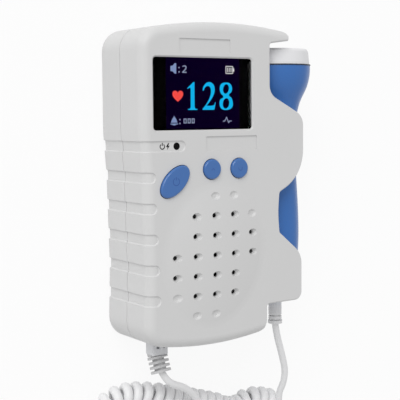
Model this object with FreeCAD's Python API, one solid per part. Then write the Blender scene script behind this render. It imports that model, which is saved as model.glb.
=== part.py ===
"""Hand-held fetal doppler monitor with a docked probe on a curly cord.

Millimetres.  The unit lies on its back: +Z points out of its front face, +Y to its screen end
and +X to the side that carries the probe.  The origin is the middle of its footprint, at the
height of the flat back.
"""
import FreeCAD, Part
import math
import os

from FreeCAD import Vector

# ---- overall sizes -------------------------------------------------------------------------
LENGTH = 131.0            # case, top to bottom
WIDTH = 92.0              # case with the probe in its cradle
THICK = 35.0              # back to front face
HEAD_R = 15.6             # probe at its seam ring, which reaches the right side
PROBE_X = WIDTH / 2 - HEAD_R
PARTING = 18.0            # height of the joint between the two case halves
WALL = 2.2                # moulded wall of the case
CRADLE_WALL = 2.64        # wall beside the cradle
ROOT = 0.5                # how far ribs and posts run into the wall that they grow from
PAST = 3.0                # how far a cutter runs past the face that it opens
FAR = 90.0                # beyond the case in plan
EDGE_ROUND = 4.0          # rounding of the long front and back edges
CRADLE_BEVEL = 0.6        # small bevel along the cradle edges
SEAM = 0.25               # fine step where the case halves meet
ARC_ROOM = 0.99           # most of a side that the arcs at its ends may take together

# ---- plan outline of the case --------------------------------------------------------------
GRIP_X = 1.2 - WIDTH / 2                  # left side of the narrower hand grip
WAIST_X = 2.1 - WIDTH / 2                 # its narrowest place
GRIP_TOP_Y = 5.0
WIDE_END_Y = 21.0
WAIST_Y = -34.0
TOP_END = (-7.0, 195.0, 0.153)            # apex x, radius, and slope beside that curve
LOW_END = (-14.0, 145.0, 0.15)
CORNER_R = 9.0
FOOT_CORNER_R = 6.5
GRIP_R = 60.0             # long curves of the left side
WAIST_R_PLAN = 150.0
CLAMP_TOP_R = 6.5
CLAMP_LOW_R = 18.0
NECK_R_PLAN = 40.0
REACH_PAST = 12.0         # closing line beyond the upper clamp
ARM_TIP_X = PROBE_X - 4.5                 # arm over the head of the probe
ARM_TIP_R = 3.2
ARM_UNDER_Y = LENGTH / 2 - 7.9
ARM_RISE = 1.3
HEAD_SIDE_X = PROBE_X - 14.8              # case side beside the probe head
CLAMP_X = PROBE_X + 2.8                   # reach of the upper cradle clamp
CLAMP_TOP_Y = ARM_UNDER_Y - 30.1
CLAMP_LOW_Y = 2.5
SLOPE_TOP_Y = CLAMP_TOP_Y + 9.3
FOOT_X = PROBE_X + 1.9                    # reach of the lower cradle clamp
FOOT_TOP_Y = -31.3
FOOT_LOW_Y = 14.5 - LENGTH / 2
NECK_X = PROBE_X - 9.9                    # waist of the cradle between the clamps
NECK_BOW = 0.7
NECK_TOP_Y = -4.3
NECK_LOW_Y = -21.4
TAIL_SIDE_X = PROBE_X - 16.55             # right side of the lower end

# ---- screen, light and label fields --------------------------------------------------------
SCREEN_X = -17.2
SCREEN_Y = LENGTH / 2 - 28.75
SCREEN_W = 46.8
SCREEN_H = 28.55
SCREEN_CORNER = 1.3
SCREEN_SINK = 0.5         # glass below the face
SCREEN_BEVEL = 0.6
SCREEN_FIT = 0.05         # glass to case on each side
LENS_LIP = 1.4            # hidden rim of the window behind the wall
LENS_LIP_T = 1.0
PANEL_W = 46.8            # display module
PANEL_H = 33.6
PANEL_T = 2.6
PANEL_CORNER = 0.6
PANEL_GAP = 0.4           # display below the window's lip
STAND_INSET = 2.0         # the frame under the panel stands this far in from its edge
STAND_WALL = 1.5
LABEL_DEPTH = 0.5
LABEL_CORNER = 0.4
LABEL_TOP = (-16.6, LENGTH / 2 - 10.0, 24.2, 6.0)      # centre x, centre y, width, height
LIGHT_X = -30.1
LIGHT_D = 2.8
LIGHT_CLEAR = 0.1
LIGHT_SINK = 0.1          # lens below the groove floor
LIGHT_FLANGE = 1.2        # height of the light's flange, and how much wider it is

# ---- grip grooves --------------------------------------------------------------------------
GROOVE_W = 4.5
GROOVE_DEEP = 0.6
GROOVE_BEVEL = 0.4        # sloped part of the groove sides
GROOVE_PITCH = 12.15
GROOVE_TOP_Y = SCREEN_Y - 20.55
LABEL_LOW = (-4.0, GROOVE_TOP_Y + 0.55, 25.0, 6.1)
GROOVE_COUNT = 6
GROOVE_END_X = 5.6 - WIDTH / 2
GROOVE_END_STEP = 0.45    # each lower groove reaches a little further in
LIGHT_GROOVE_END_X = -26.2

# ---- places of the buttons -----------------------------------------------------------------
POWER_X = 14.5 - WIDTH / 2
POWER_Y = GROOVE_TOP_Y - 13.9
ROUND_Y = GROOVE_TOP_Y - 9.6

# ---- speaker dome and its holes ------------------------------------------------------------
DOME_X = -12.6
DOME_Y = (ROUND_Y - LENGTH / 2) / 2 + 1.45
DOME_LONG = LENGTH / 2 - 36.5             # half lengths of the oval
DOME_SHORT = WIDTH / 2 - 22.5
DOME_RISE = 1.8
DOME_TILT = -14.0
DOME_SPREAD = 4.0         # how far the cap is carried on before the face trims it
DOME_BLEND = 20.0         # soft run-out of the dome into the face
HOLE_PITCH_X = 9.27
HOLE_PITCH_Y = 8.04
HOLE_X = DOME_X - 18.55   # first column and first row
HOLE_Y = DOME_Y + 23.9
HOLE_D = 1.8
DISH_W = 4.4              # oval dish around each hole
DISH_H = 3.2
DISH_DEEP = 1.7
BLIND_DEEP = 0.8
HOLE_ROWS = {1: (1, 2, 3), 2: (1, 2, 3, 4), 3: (0, 1, 2, 3, 4), 4: (0, 1, 2, 3), 5: (1, 2, 3)}
BLIND_ROWS = {0: (2, 3), 1: (4,), 5: (0,), 6: (1, 2)}

# ---- speaker -------------------------------------------------------------------------------
SPEAKER_D = 47.0
SPEAKER_FLANGE = 1.4
SPEAKER_DEEP = 9.0
MAGNET_D = 20.0
MAGNET_T = 3.5
BASKET_T = 1.5
CONE_D = 43.0
CONE_T = 0.5
CONE_ROOT_D = 16.0
CONE_DEEP = 3.0
CONE_RIM = 1.2
CAP_SPHERE_R = 12.0
SPEAKER_WALL = 1.2
SPEAKER_FIT = 0.3
COLLAR_DEEP = 3.0         # collar behind the grille that holds the speaker

# ---- buttons -------------------------------------------------------------------------------
BUTTON_TRAVEL = 0.8
BUTTON_PROUD = 1.2
BUTTON_GAP = 0.25
BUTTON_EDGE = 0.8
BUTTON_LIP = 1.0
BUTTON_LIP_T = 0.9
BUTTON_SLACK = 0.1        # lip below the inside of the wall
STEM_D = 3.0
POWER_LONG = 8.0
POWER_SHORT = 4.5
POWER_TILT = 42.0
ROUND_D = 8.1
ROUND_X = (-14.0, -0.7)

# ---- circuit board -------------------------------------------------------------------------
BOARD_T = 1.6
BOARD_TOP = 22.6
BOARD_X = (5.5 - WIDTH / 2, HEAD_SIDE_X - 3.2)
BOARD_Y = (ROUND_Y - 11.6, LENGTH / 2 - 15.0)
BOARD_CORNER = 1.0
POST_D = 4.0
POST_INSET = 2.5          # posts stand this far in from the board's edges
SWITCH = 6.0
SWITCH_T = 3.4
SWITCH_CAP = 0.6          # plunger above the switch's case
CHIPS = ((-28.0, 34.0, 9.0), (-8.0, 36.0, 6.3), (2.0, 22.0, 5.4))      # x, y, size
CHIP_T = 1.2
CHIP_CORNER = 0.3
PLUNGER_GAP = 0.2

# ---- batteries, door and screws ------------------------------------------------------------
CELL_D = 14.2
CELL_LEN = 49.2
NIPPLE_D = 5.5
NIPPLE_LEN = 1.1
CELL_GAP = 0.5
CELL_EDGE = 0.6
CELL_CLEAR = 0.3          # room over and under the cells
BAY_X = -21.0
BAY_TOP_Y = 11.5
BAY_WALL = 1.4
BAY_SIDE = 0.65           # room beside the cells
SPRING_LEN = 4.0
SPRING_SLACK = 0.02       # spring to cell
SPRING_ROOT_D = 10.0
SPRING_TOP_D = 6.4
SPRING_T = 0.8
PLATE_T = 0.5
PLATE_W = 11.2
DOOR_T = 1.85
DOOR_SINK = 0.15
DOOR_GAP = 0.25
DOOR_RAIL = 0.9
DOOR_BED = 1.5
DOOR_SIDE = 1.3           # door beyond the bay on each side
DOOR_TONGUE_Y = 3.9       # its side tongues stop this far below its top edge
DOOR_GRIPS = 5
GRIP_W = 16.0             # finger grooves of the door
GRIP_T = 1.2
GRIP_PITCH = 2.4
GRIP_DEEP = 0.5
SCREW_D = 2.6
SCREW_LEN = 12.0
SCREW_HEAD_D = 4.8
SCREW_HEAD_T = 1.8
SCREW_FIT = 0.2           # screw to its hole in the rear half
DRIVE_LONG = 2.8          # cross recess of the screw head
DRIVE_WIDE = 0.7
DRIVE_DEEP = 0.8
BOSS_D = 6.4
SCREWS = ((9.5 - WIDTH / 2, LENGTH / 2 - 8.2), (HEAD_SIDE_X - 6.2, LENGTH / 2 - 9.3),
          (TAIL_SIDE_X - 4.65, 11.5 - LENGTH / 2), (5.9 - WIDTH / 2, 11.9 - LENGTH / 2))
SCREW_SINK = 8.0
SCREW_BITE = 7.0          # thread above the parting line

# ---- probe ---------------------------------------------------------------------------------
BELL_R = 15.4
BELL_LOW_R = 13.65
NECK_R = 10.0
WAIST_R = 9.25
BELLY_R = 10.4
TAIL_R = 7.4
HEAD_TOP_Y = ARM_UNDER_Y - 1.3
SEAM_Y = HEAD_TOP_Y - 7.2
BELL_Y = SEAM_Y - 4.1
BELL_LOW_Y = SEAM_Y - 10.1
THROAT_Y = SEAM_Y - 14.8
THROAT_R = 11.4
NECK_Y = SEAM_Y - 19.6
WAIST_LINE_Y = 4.0
BELLY_Y = -19.0
TAIL_END_Y = FOOT_LOW_Y - 2.0
TAIL_Y = TAIL_END_Y + 4.5
TAIL_END_R = 3.6
TAIL_BULGE = 0.9          # roundness of the tail's end
RING_T = 0.5
CAP_DRAFT = 0.7
CAP_R = 15.2
CAP_EDGE = 1.6
PROBE_GAP = 0.5           # between the probe and its cradle
PROBE_TRAVEL = 40.0       # the way in which the probe leaves the cradle
DISC_R = 11.0
DISC_T = 1.2
DISC_FIT = 0.2
DISC_RISE = 1.5           # front of the discs inside the cap
POCKET_DEEP = 6.0
DISC_SPLIT = 0.8

# ---- strain relief, plug, socket and cord --------------------------------------------------
CORD_D = 3.0
RELIEF_D = 5.8
RELIEF_COLLAR_D = 6.3
RELIEF_END_Y = TAIL_END_Y - 10.9
RELIEF_RING = 1.35
RELIEF_SLIT = 0.6
RELIEF_CORE_D = 4.0
PLUG_X = 15.4 - WIDTH / 2
PLUG_W = 7.2
PLUG_H = 6.2
PLUG_LOW_Y = -LENGTH / 2 - 4.5
PLUG_IN_Y = PLUG_LOW_Y + 14.5
PLUG_FIT = 0.3
PLUG_EDGE = 0.4
LATCH_W = 1.4
LATCH_T = 0.9
LATCH_LOW_Y = PLUG_LOW_Y + 3.0
LATCH_ROOT = 0.3
NOTCH_SIDE = 1.2          # open slots beside the latch
NOTCH_DEEP = 1.4
NOTCH_LONG = 6.0
CONTACTS = 4
CONTACT_PITCH = 1.27
CONTACT_W = 0.5
CONTACT_LEN = 3.0
CONTACT_H = 1.2
CONTACT_PROUD = 0.1
SOCKET_WALL = 1.6
SOCKET_DEEP_Y = PLUG_IN_Y + 3.5
SOCKET_BACK = 0.6         # socket to the inside of the end wall
BOOT_END = 7.5
BOOT_CORE_D = 5.0
BOOT_ROOT = 0.4
BOOT_BORE_DEEP = 1.4      # bore in the boot's end, where the cord goes in at a slant
BOOT_BORE_FIT = 0.5
RIB_W = 8.4
RIB_H = 6.8
RIB_T = 1.0
RIB_PITCH = 1.95
RIB_COUNT = 4
BOOT_LEAN = 6.0           # to the probe side
BOOT_RISE = 16.0          # and up, where the cord climbs over the coil
COIL_D = 12.6
BEND_SHARE = 0.45         # part of the shorter run that a bend's tangent takes

# Routes of the cord as x, y from the lower end of the case, and z.  The first goes from the
# plug's boot over the coil and along the table to the coil's end.
PLUG_LEAD = (
    (-29.9, -11.1, 19.9), (-27.9, -14.8, 20.2), (-24.6, -17.5, 20.3), (-18.4, -19.8, 19.2),
    (-11.8, -24.6, 17.6), (-7.9, -31.2, 15.9), (-6.2, -38.7, 14.5), (-6.9, -45.7, 10.6),
    (-10.8, -50.3, 5.6), (-17.4, -52.2, 2.4), (-26.0, -50.7, 1.55), (-37.0, -45.7, 1.5),
    (-48.6, -43.7, 1.55))
# Middle line of the curly part, which lies on the table in front of the lower end.
COIL_LINE = (
    (-53.6, -45.1, 6.3), (-53.6, -32.4, 6.3), (-45.1, -23.9, 6.3), (-33.0, -23.7, 6.3),
    (-14.0, -28.7, 6.3), (3.6, -34.0, 6.3), (15.6, -38.7, 6.3), (26.8, -33.7, 6.3),
    (38.2, -38.7, 6.3))
# From the probe's strain relief to the top of the last turn of the coil.
PROBE_LEAD = (
    (PROBE_X, RELIEF_END_Y + LENGTH / 2, PARTING), (31.3, -3.9, 18.0), (34.2, -12.7, 17.8),
    (36.9, -21.1, 17.1), (37.0, -27.5, 15.2), (36.6, -31.5, 12.9))


def box(x0, x1, y0, y1, z0, z1):
    return Part.makeBox(x1 - x0, y1 - y0, z1 - z0, Vector(x0, y0, z0))


def slab(z0, z1):
    """Block that covers the whole plan between two heights."""
    return box(-FAR, FAR, -FAR, FAR, z0, z1)


def rod(x, y, z0, z1, diameter):
    return Part.makeCylinder(diameter / 2, z1 - z0, Vector(x, y, z0))


def fuse(shapes):
    first, rest = shapes[0], shapes[1:]
    return first.multiFuse(rest).removeSplitter() if rest else first


def corner_bends(corners, z):
    """Each corner with the ways to its neighbours, and the reach of its arc cut back to the room."""
    bends = []
    for i, (x, y, radius) in enumerate(corners):
        here = Vector(x, y, z)
        before = Vector(*corners[i - 1][:2], z) - here
        after = Vector(*corners[(i + 1) % len(corners)][:2], z) - here
        half = before.getAngle(after) / 2
        bends.append([here, before, after, half, radius / math.tan(half)])
    wanted = [bend[4] for bend in bends]
    for i, bend in enumerate(bends):
        room_before = bend[1].Length / (wanted[i - 1] + wanted[i])
        room_after = bend[2].Length / (wanted[i] + wanted[(i + 1) % len(bends)])
        bend[4] *= min(1.0, ARC_ROOM * room_before, ARC_ROOM * room_after)
    return bends


def rounded_wire(corners, z=0.0):
    """Closed outline of straight runs whose corners (x, y, radius) are tangent arcs."""
    ends = []
    for here, before, after, half, reach in corner_bends(corners, z):
        before.normalize()
        after.normalize()
        start, finish = here + before * reach, here + after * reach
        inward = (before + after).normalize()
        middle = here + inward * reach * (1 / math.cos(half) - math.tan(half))
        ends.append((start, middle, finish))
    edges = []
    for i, (start, middle, finish) in enumerate(ends):
        previous = ends[i - 1][2]
        if previous.distanceToPoint(start) > 1e-6:
            edges.append(Part.LineSegment(previous, start).toShape())
        edges.append(Part.Arc(start, middle, finish).toShape())
    return Part.Wire(edges)


def prism(corners, z0, z1):
    return Part.Face(rounded_wire(corners, z0)).extrude(Vector(0, 0, z1 - z0))


def rounded_box(x, y, width, height, radius, z0, z1):
    corners = [(x - width / 2, y - height / 2, radius), (x + width / 2, y - height / 2, radius),
               (x + width / 2, y + height / 2, radius), (x - width / 2, y + height / 2, radius)]
    return prism(corners, z0, z1)


def flat_edges(shape, z):
    """Edges that lie wholly at one height."""
    return [e for e in shape.Edges
            if abs(e.BoundBox.ZMin - z) < 1e-4 and abs(e.BoundBox.ZMax - z) < 1e-4]


def end_reach(end, x):
    """Reach of an end at a place along it, as if its crown were a sharp corner."""
    apex_x, radius, slope = end
    return LENGTH / 2 + radius * (1 / math.cos(slope) - 1) - abs(x - apex_x) * math.tan(slope)


def crown(end, way, inset):
    """Corner point of the crown at the middle of an end."""
    return (end[0], way * (end_reach(end, end[0]) - inset), end[1])


def left_side(inset):
    """Corners of the left side of the case, from the lower to the upper end."""
    return [(GRIP_X + inset, -end_reach(LOW_END, GRIP_X) + inset, CORNER_R - inset),
            (WAIST_X + inset, WAIST_Y, WAIST_R_PLAN), (GRIP_X + inset, GRIP_TOP_Y, GRIP_R),
            (-WIDTH / 2 + inset, WIDE_END_Y, GRIP_R),
            (-WIDTH / 2 + inset, end_reach(TOP_END, -WIDTH / 2) - inset, CORNER_R - inset),
            crown(TOP_END, 1, inset)]


def case_outline():
    """Plan outline with the arm, the two cradle clamps and the neck between them."""
    tip_y = end_reach(TOP_END, ARM_TIP_X)
    low_y = -end_reach(LOW_END, TAIL_SIDE_X)
    right = [(ARM_TIP_X, tip_y, ARM_TIP_R), (ARM_TIP_X - 0.5, ARM_UNDER_Y + ARM_RISE, 0.9),
             (HEAD_SIDE_X, ARM_UNDER_Y, 1.0), (HEAD_SIDE_X, SLOPE_TOP_Y, 6.0),
             (CLAMP_X, CLAMP_TOP_Y, CLAMP_TOP_R), (CLAMP_X, CLAMP_LOW_Y, CLAMP_LOW_R),
             (NECK_X, NECK_TOP_Y, 1.8), (NECK_X - NECK_BOW, (NECK_TOP_Y + NECK_LOW_Y) / 2, NECK_R_PLAN),
             (NECK_X, NECK_LOW_Y, 2.0), (FOOT_X, FOOT_TOP_Y, 9.0), (FOOT_X, FOOT_LOW_Y, 3.6),
             (TAIL_SIDE_X, FOOT_LOW_Y - 0.3, 1.2), (TAIL_SIDE_X, low_y, FOOT_CORNER_R)]
    return left_side(0.0) + right + [crown(LOW_END, -1, 0.0)]


def closed_outline(inset):
    """Left side and both ends, closed by a straight line beyond the cradle."""
    right = CLAMP_X + REACH_PAST
    return left_side(inset) + [(right, end_reach(TOP_END, right) - inset, 3.0),
                               (right, -end_reach(LOW_END, right) + inset, 3.0), crown(LOW_END, -1, inset)]


def pillow(inset):
    """The whole thickness with its long edges rounded, wider than the case on the right."""
    solid = prism(closed_outline(inset), inset, THICK - inset)
    edges = flat_edges(solid, inset) + flat_edges(solid, THICK - inset)
    return solid.makeFillet(EDGE_ROUND - inset, edges)


def probe_section(gap):
    """Half section of the probe (radius over length) from the seam to the tail, as one face."""
    x, z = PROBE_X, PARTING
    stations = ((BELL_Y, BELL_R - 0.15), (BELL_LOW_Y, BELL_LOW_R), (THROAT_Y, THROAT_R), (NECK_Y, NECK_R),
                (WAIST_LINE_Y, WAIST_R), (BELLY_Y, BELLY_R), (TAIL_Y, TAIL_R))
    top = Vector(x, SEAM_Y, z + BELL_R + gap)
    points = [top] + [Vector(x, y, z + r + gap) for y, r in stations]
    side = Part.BSplineCurve()
    side.interpolate(points)
    end = Vector(x, TAIL_END_Y - gap, z + TAIL_END_R + gap)
    round_mid = (points[-1] + end) * 0.5 + Vector(0, -TAIL_BULGE, TAIL_BULGE)
    edges = [side.toShape(), Part.Arc(points[-1], round_mid, end).toShape(),
             Part.LineSegment(end, Vector(x, end.y, z)).toShape(),
             Part.LineSegment(Vector(x, end.y, z), Vector(x, SEAM_Y, z)).toShape(),
             Part.LineSegment(Vector(x, SEAM_Y, z), top).toShape()]
    return Part.Face(Part.Wire(edges))


def along_probe(y0, y1, radius):
    """Round bar on the probe's axis."""
    return Part.makeCylinder(radius, abs(y1 - y0), Vector(PROBE_X, min(y0, y1), PARTING), Vector(0, 1, 0))


def spin(face):
    return face.revolve(Vector(PROBE_X, 0, PARTING), Vector(0, 1, 0), 360)


def cradle_space():
    """Room for the probe and for its way out sideways, so the cradle follows its shape."""
    half = probe_section(PROBE_GAP)
    mirror = half.mirror(Vector(PROBE_X, 0, PARTING), Vector(0, 0, 1))
    way = Vector(PROBE_TRAVEL, 0, 0)
    head = along_probe(SEAM_Y - 2 * RING_T, HEAD_TOP_Y + PROBE_GAP, HEAD_R + PROBE_GAP)
    relief = along_probe(TAIL_Y, RELIEF_END_Y, RELIEF_COLLAR_D / 2 + PROBE_GAP)
    return fuse([spin(half), half.extrude(way), mirror.extrude(way), head, relief])


def grip_grooves():
    """Pill-shaped cutters for the grooves that wrap round the left edge."""
    core = pillow(GROOVE_DEEP)
    cutters = []
    for k, y in enumerate(groove_lines()):
        back_end = GROOVE_END_X + GROOVE_END_STEP * k
        front_end = back_end if k else LIGHT_GROOVE_END_X
        pill = []
        for end, z0, z1 in ((front_end, PARTING, THICK + PAST), (back_end, -PAST, PARTING)):
            centre = end - GROOVE_W / 2
            pill.append(box(-WIDTH / 2 - PAST, centre, y - GROOVE_W / 2, y + GROOVE_W / 2, z0, z1))
            pill.append(rod(centre, y, z0, z1, GROOVE_W))
        cutter = fuse(pill).cut(core).removeSplitter()
        cutters.append(cutter.makeChamfer(GROOVE_BEVEL, groove_floor_rim(cutter, core)))
    return Part.makeCompound(cutters)


def groove_floor_rim(cutter, core):
    """Edges round the floor of a groove, without the seams that cross it."""
    rim = []
    for edge in cutter.Edges:
        middle = edge.valueAt((edge.FirstParameter + edge.LastParameter) / 2)
        if core.Shells[0].distToShape(Part.Vertex(middle))[0] > 1e-3:
            continue
        start, finish = edge.Vertexes[0].Point, edge.Vertexes[-1].Point
        crosses = abs(finish.y - start.y) > GROOVE_W / 2
        straight = ((start + finish) * 0.5 - middle).Length < GROOVE_BEVEL
        if not (crosses and straight):
            rim.append(edge)
    return rim


def groove_lines():
    """Middle line of each grip groove."""
    return [GROOVE_TOP_Y - k * GROOVE_PITCH for k in range(GROOVE_COUNT)]


def seam_notches():
    """Fine step all round, where the two halves meet, and its deeper runs across the grooves."""
    z0, z1 = PARTING - SEAM, PARTING + SEAM
    inside = Part.Face(rounded_wire(case_outline(), z0).makeOffset2D(-SEAM)).extrude(Vector(0, 0, z1 - z0))
    ring = prism(case_outline(), z0, z1).cut(inside)
    floor = prism(closed_outline(GROOVE_DEEP + SEAM), z0, z1)
    half = GROOVE_W / 2
    runs = [box(-WIDTH / 2 - PAST, GROOVE_END_X, y - half, y + half, z0, z1).cut(floor) for y in groove_lines()]
    return ring, Part.makeCompound(runs)


def whole_case():
    """Outside of both case halves in one block."""
    block = prism(case_outline(), 0.0, THICK)
    block = block.makeChamfer(CRADLE_BEVEL, flat_edges(block, 0.0) + flat_edges(block, THICK))
    block = block.common(pillow(0.0))
    block = block.cut(cradle_space())
    block = block.cut(grip_grooves())
    for notch in seam_notches():
        block = block.cut(notch)
    return block


def cavity(z0, z1):
    """Hollow inside the case, up to the wall beside the cradle."""
    room = box(-FAR, HEAD_SIDE_X - CRADLE_WALL, -FAR, FAR, z0, z1)
    return prism(closed_outline(WALL), z0, z1).common(room)


def dome_radii():
    """Curvature radii of the dome along and across its long axis."""
    return DOME_LONG ** 2 / (2 * DOME_RISE), DOME_SHORT ** 2 / (2 * DOME_RISE)


def dome(base):
    """Shallow oval swelling above a height, an arc turned about a line far below it."""
    long_r, short_r = dome_radii()
    top = base + DOME_RISE
    foot = base - 2 * WALL
    reach = DOME_LONG + DOME_SPREAD
    drop = reach ** 2 / (2 * long_r)
    ends = [Vector(-reach, 0, top - drop), Vector(0, 0, top), Vector(reach, 0, top - drop)]
    low = [Vector(reach, 0, foot), Vector(-reach, 0, foot)]
    section = [Part.Arc(*ends), Part.LineSegment(ends[2], low[0]), Part.LineSegment(low[0], low[1]),
               Part.LineSegment(low[1], ends[0])]
    barrel = Part.Face(Part.Wire([piece.toShape() for piece in section]))
    half_turn = math.degrees(math.asin((DOME_SHORT + DOME_SPREAD) / short_r))
    axis_foot = Vector(0, 0, top - short_r)
    barrel.rotate(axis_foot, Vector(1, 0, 0), -half_turn)
    barrel = barrel.revolve(axis_foot, Vector(1, 0, 0), 2 * half_turn)
    cap = barrel.common(slab(base - ROOT, top + PAST))
    cap.rotate(Vector(0, 0, 0), Vector(0, 0, 1), 90 + DOME_TILT)
    cap.translate(Vector(DOME_X, DOME_Y, 0))
    return cap


def with_dome(block):
    """The block with the dome blended into its front face."""
    block = block.fuse(dome(THICK)).removeSplitter()
    foot = Vector(DOME_X, DOME_Y, THICK)
    rim = [e for e in flat_edges(block, THICK) if e.Closed and e.BoundBox.Center.distanceToPoint(foot) < PAST]
    return block.makeFillet(DOME_BLEND, rim)


def dome_z(x, y):
    """Height of the front surface at a place on the dome or beside it."""
    long_r, short_r = dome_radii()
    angle = math.radians(DOME_TILT)
    dx, dy = x - DOME_X, y - DOME_Y
    along = -dx * math.sin(angle) + dy * math.cos(angle)
    across = dx * math.cos(angle) + dy * math.sin(angle)
    return THICK + max(0.0, DOME_RISE - along ** 2 / (2 * long_r) - across ** 2 / (2 * short_r))


def dish(x, y, depth):
    """Oval countersink, carried on above the surface at the same slope."""
    z = dome_z(x, y)
    over = PAST / 4
    growth = 1 + over / depth
    width = HOLE_D + (DISH_W - HOLE_D) * growth
    height = HOLE_D + (DISH_H - HOLE_D) * growth
    rim = Part.Ellipse(Vector(x, y, z + over), width / 2, height / 2)
    floor = Part.Circle(Vector(x, y, z - depth), Vector(0, 0, 1), HOLE_D / 2)
    return Part.makeLoft([Part.Wire([rim.toShape()]), Part.Wire([floor.toShape()])], True, True)


def grille(rows, through):
    """Countersunk holes of the speaker, or only their dishes where they are blind."""
    cutters = []
    for row, columns in rows.items():
        for column in columns:
            x, y = HOLE_X + column * HOLE_PITCH_X, HOLE_Y - row * HOLE_PITCH_Y
            cutters.append(dish(x, y, DISH_DEEP if through else BLIND_DEEP))
            if through:
                cutters.append(rod(x, y, THICK - WALL - PAST, dome_z(x, y) - DISH_DEEP + ROOT, HOLE_D))
    return Part.makeCompound(cutters)


def power_outline(extra, z0, z1):
    """Tilted oval of the power button, grown by a margin."""
    ellipse = Part.Ellipse(Vector(0, 0, z0), POWER_LONG + extra, POWER_SHORT + extra)
    solid = Part.Face(Part.Wire([ellipse.toShape()])).extrude(Vector(0, 0, z1 - z0))
    solid.rotate(Vector(0, 0, 0), Vector(0, 0, 1), POWER_TILT)
    solid.translate(Vector(POWER_X, POWER_Y, 0))
    return solid


def front_openings():
    """Everything that goes through or into the front face."""
    z0, z1 = THICK - WALL - PAST, THICK + PAST
    window = rounded_box(SCREEN_X, SCREEN_Y, SCREEN_W, SCREEN_H, SCREEN_CORNER, z0, z1)
    edge = 2 * SCREEN_BEVEL
    bevel = rounded_box(SCREEN_X, SCREEN_Y, SCREEN_W + edge, SCREEN_H + edge,
                        SCREEN_CORNER + SCREEN_BEVEL, THICK - SCREEN_BEVEL, THICK + SCREEN_BEVEL)
    bevel = bevel.makeChamfer(SCREEN_BEVEL - 0.01, flat_edges(bevel, THICK - SCREEN_BEVEL))
    cutters = [window, bevel, power_outline(BUTTON_GAP, z0, z1)]
    cutters += [rod(x, ROUND_Y, z0, z1, ROUND_D + 2 * BUTTON_GAP) for x in ROUND_X]
    cutters.append(rod(LIGHT_X, GROOVE_TOP_Y, z0, z1, LIGHT_D + 2 * LIGHT_CLEAR))
    for x, y, width, height in (LABEL_TOP, LABEL_LOW):
        cutters.append(rounded_box(x, y, width, height, LABEL_CORNER, THICK - LABEL_DEPTH, z1))
    return Part.makeCompound(cutters)


def socket_opening():
    """Sides and heights of the hole that takes the plug."""
    half = PLUG_W / 2 + PLUG_FIT
    z0 = PARTING - PLUG_H / 2 - PLUG_FIT
    z1 = PARTING + PLUG_H / 2 + LATCH_T + PLUG_FIT
    return PLUG_X - half, PLUG_X + half, z0, z1


def socket_hole():
    x0, x1, z0, z1 = socket_opening()
    return box(x0, x1, -FAR, socket_low_y(), z0, z1)


def board_posts():
    """Posts from the front wall to the circuit board."""
    x0, x1 = BOARD_X[0] + POST_INSET, BOARD_X[1] - POST_INSET
    y0, y1 = BOARD_Y[0] + POST_INSET, BOARD_Y[1] - POST_INSET
    places = [(x0, GROOVE_TOP_Y), (x1, y1), (x1, GROOVE_TOP_Y), (x1, y0)]
    return [rod(x, y, BOARD_TOP, THICK - WALL + ROOT, POST_D) for x, y in places]


def speaker_collar():
    """Collar moulded behind the grille that holds the speaker."""
    bore = SPEAKER_D + 2 * SPEAKER_FIT
    z0, z1 = THICK - WALL - COLLAR_DEEP, THICK - WALL + ROOT
    ring = rod(DOME_X, DOME_Y, z0, z1, bore + 2 * SPEAKER_WALL)
    return ring.cut(rod(DOME_X, DOME_Y, z0 - PAST, THICK - WALL, bore))


def front_shell(block):
    inner_z = THICK - WALL
    shell = with_dome(block.common(slab(PARTING, THICK)))
    shell = shell.cut(cavity(PARTING - PAST, inner_z))
    shell = shell.cut(dome(inner_z).common(rod(DOME_X, DOME_Y, inner_z - PAST, THICK + PAST, CONE_D)))
    shell = shell.cut(front_openings())
    shell = shell.cut(grille(HOLE_ROWS, True))
    shell = shell.cut(grille(BLIND_ROWS, False))
    bosses = [rod(x, y, PARTING, inner_z + ROOT, BOSS_D) for x, y in SCREWS]
    shell = fuse([shell, speaker_collar()] + bosses + board_posts())
    pilots = [rod(x, y, PARTING - PAST, PARTING + SCREW_LEN, SCREW_D) for x, y in SCREWS]
    return shell.cut(Part.makeCompound(pilots + [socket_hole()])).removeSplitter()


def door_top():
    """Height of the inner face of the battery door, with the gap above it."""
    return DOOR_SINK + DOOR_T + DOOR_GAP


def bay_box():
    """Inside of the battery bay: two cells side by side with their contacts."""
    half = CELL_D + CELL_GAP / 2 + BAY_SIDE
    length = CELL_LEN + NIPPLE_LEN + SPRING_LEN + 2 * PLATE_T
    return BAY_X - half, BAY_X + half, BAY_TOP_Y - length, BAY_TOP_Y, door_top() + CELL_D + 2 * CELL_CLEAR


def door_space(gap):
    """Plate and side tongues of the battery door, grown by a gap."""
    x0, x1, _, y1, _ = bay_box()
    top_y = y1 + DOOR_SIDE + gap
    z1 = DOOR_SINK + DOOR_T
    plate = box(x0 - DOOR_SIDE - gap, x1 + DOOR_SIDE + gap, -FAR, top_y, DOOR_SINK - 2 * gap, z1 + gap)
    tongue = DOOR_SIDE + DOOR_RAIL + gap
    rails = box(x0 - tongue, x1 + tongue, -FAR, top_y - DOOR_TONGUE_Y, z1 - DOOR_RAIL - gap, z1 + gap)
    return plate.fuse(rails)


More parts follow.
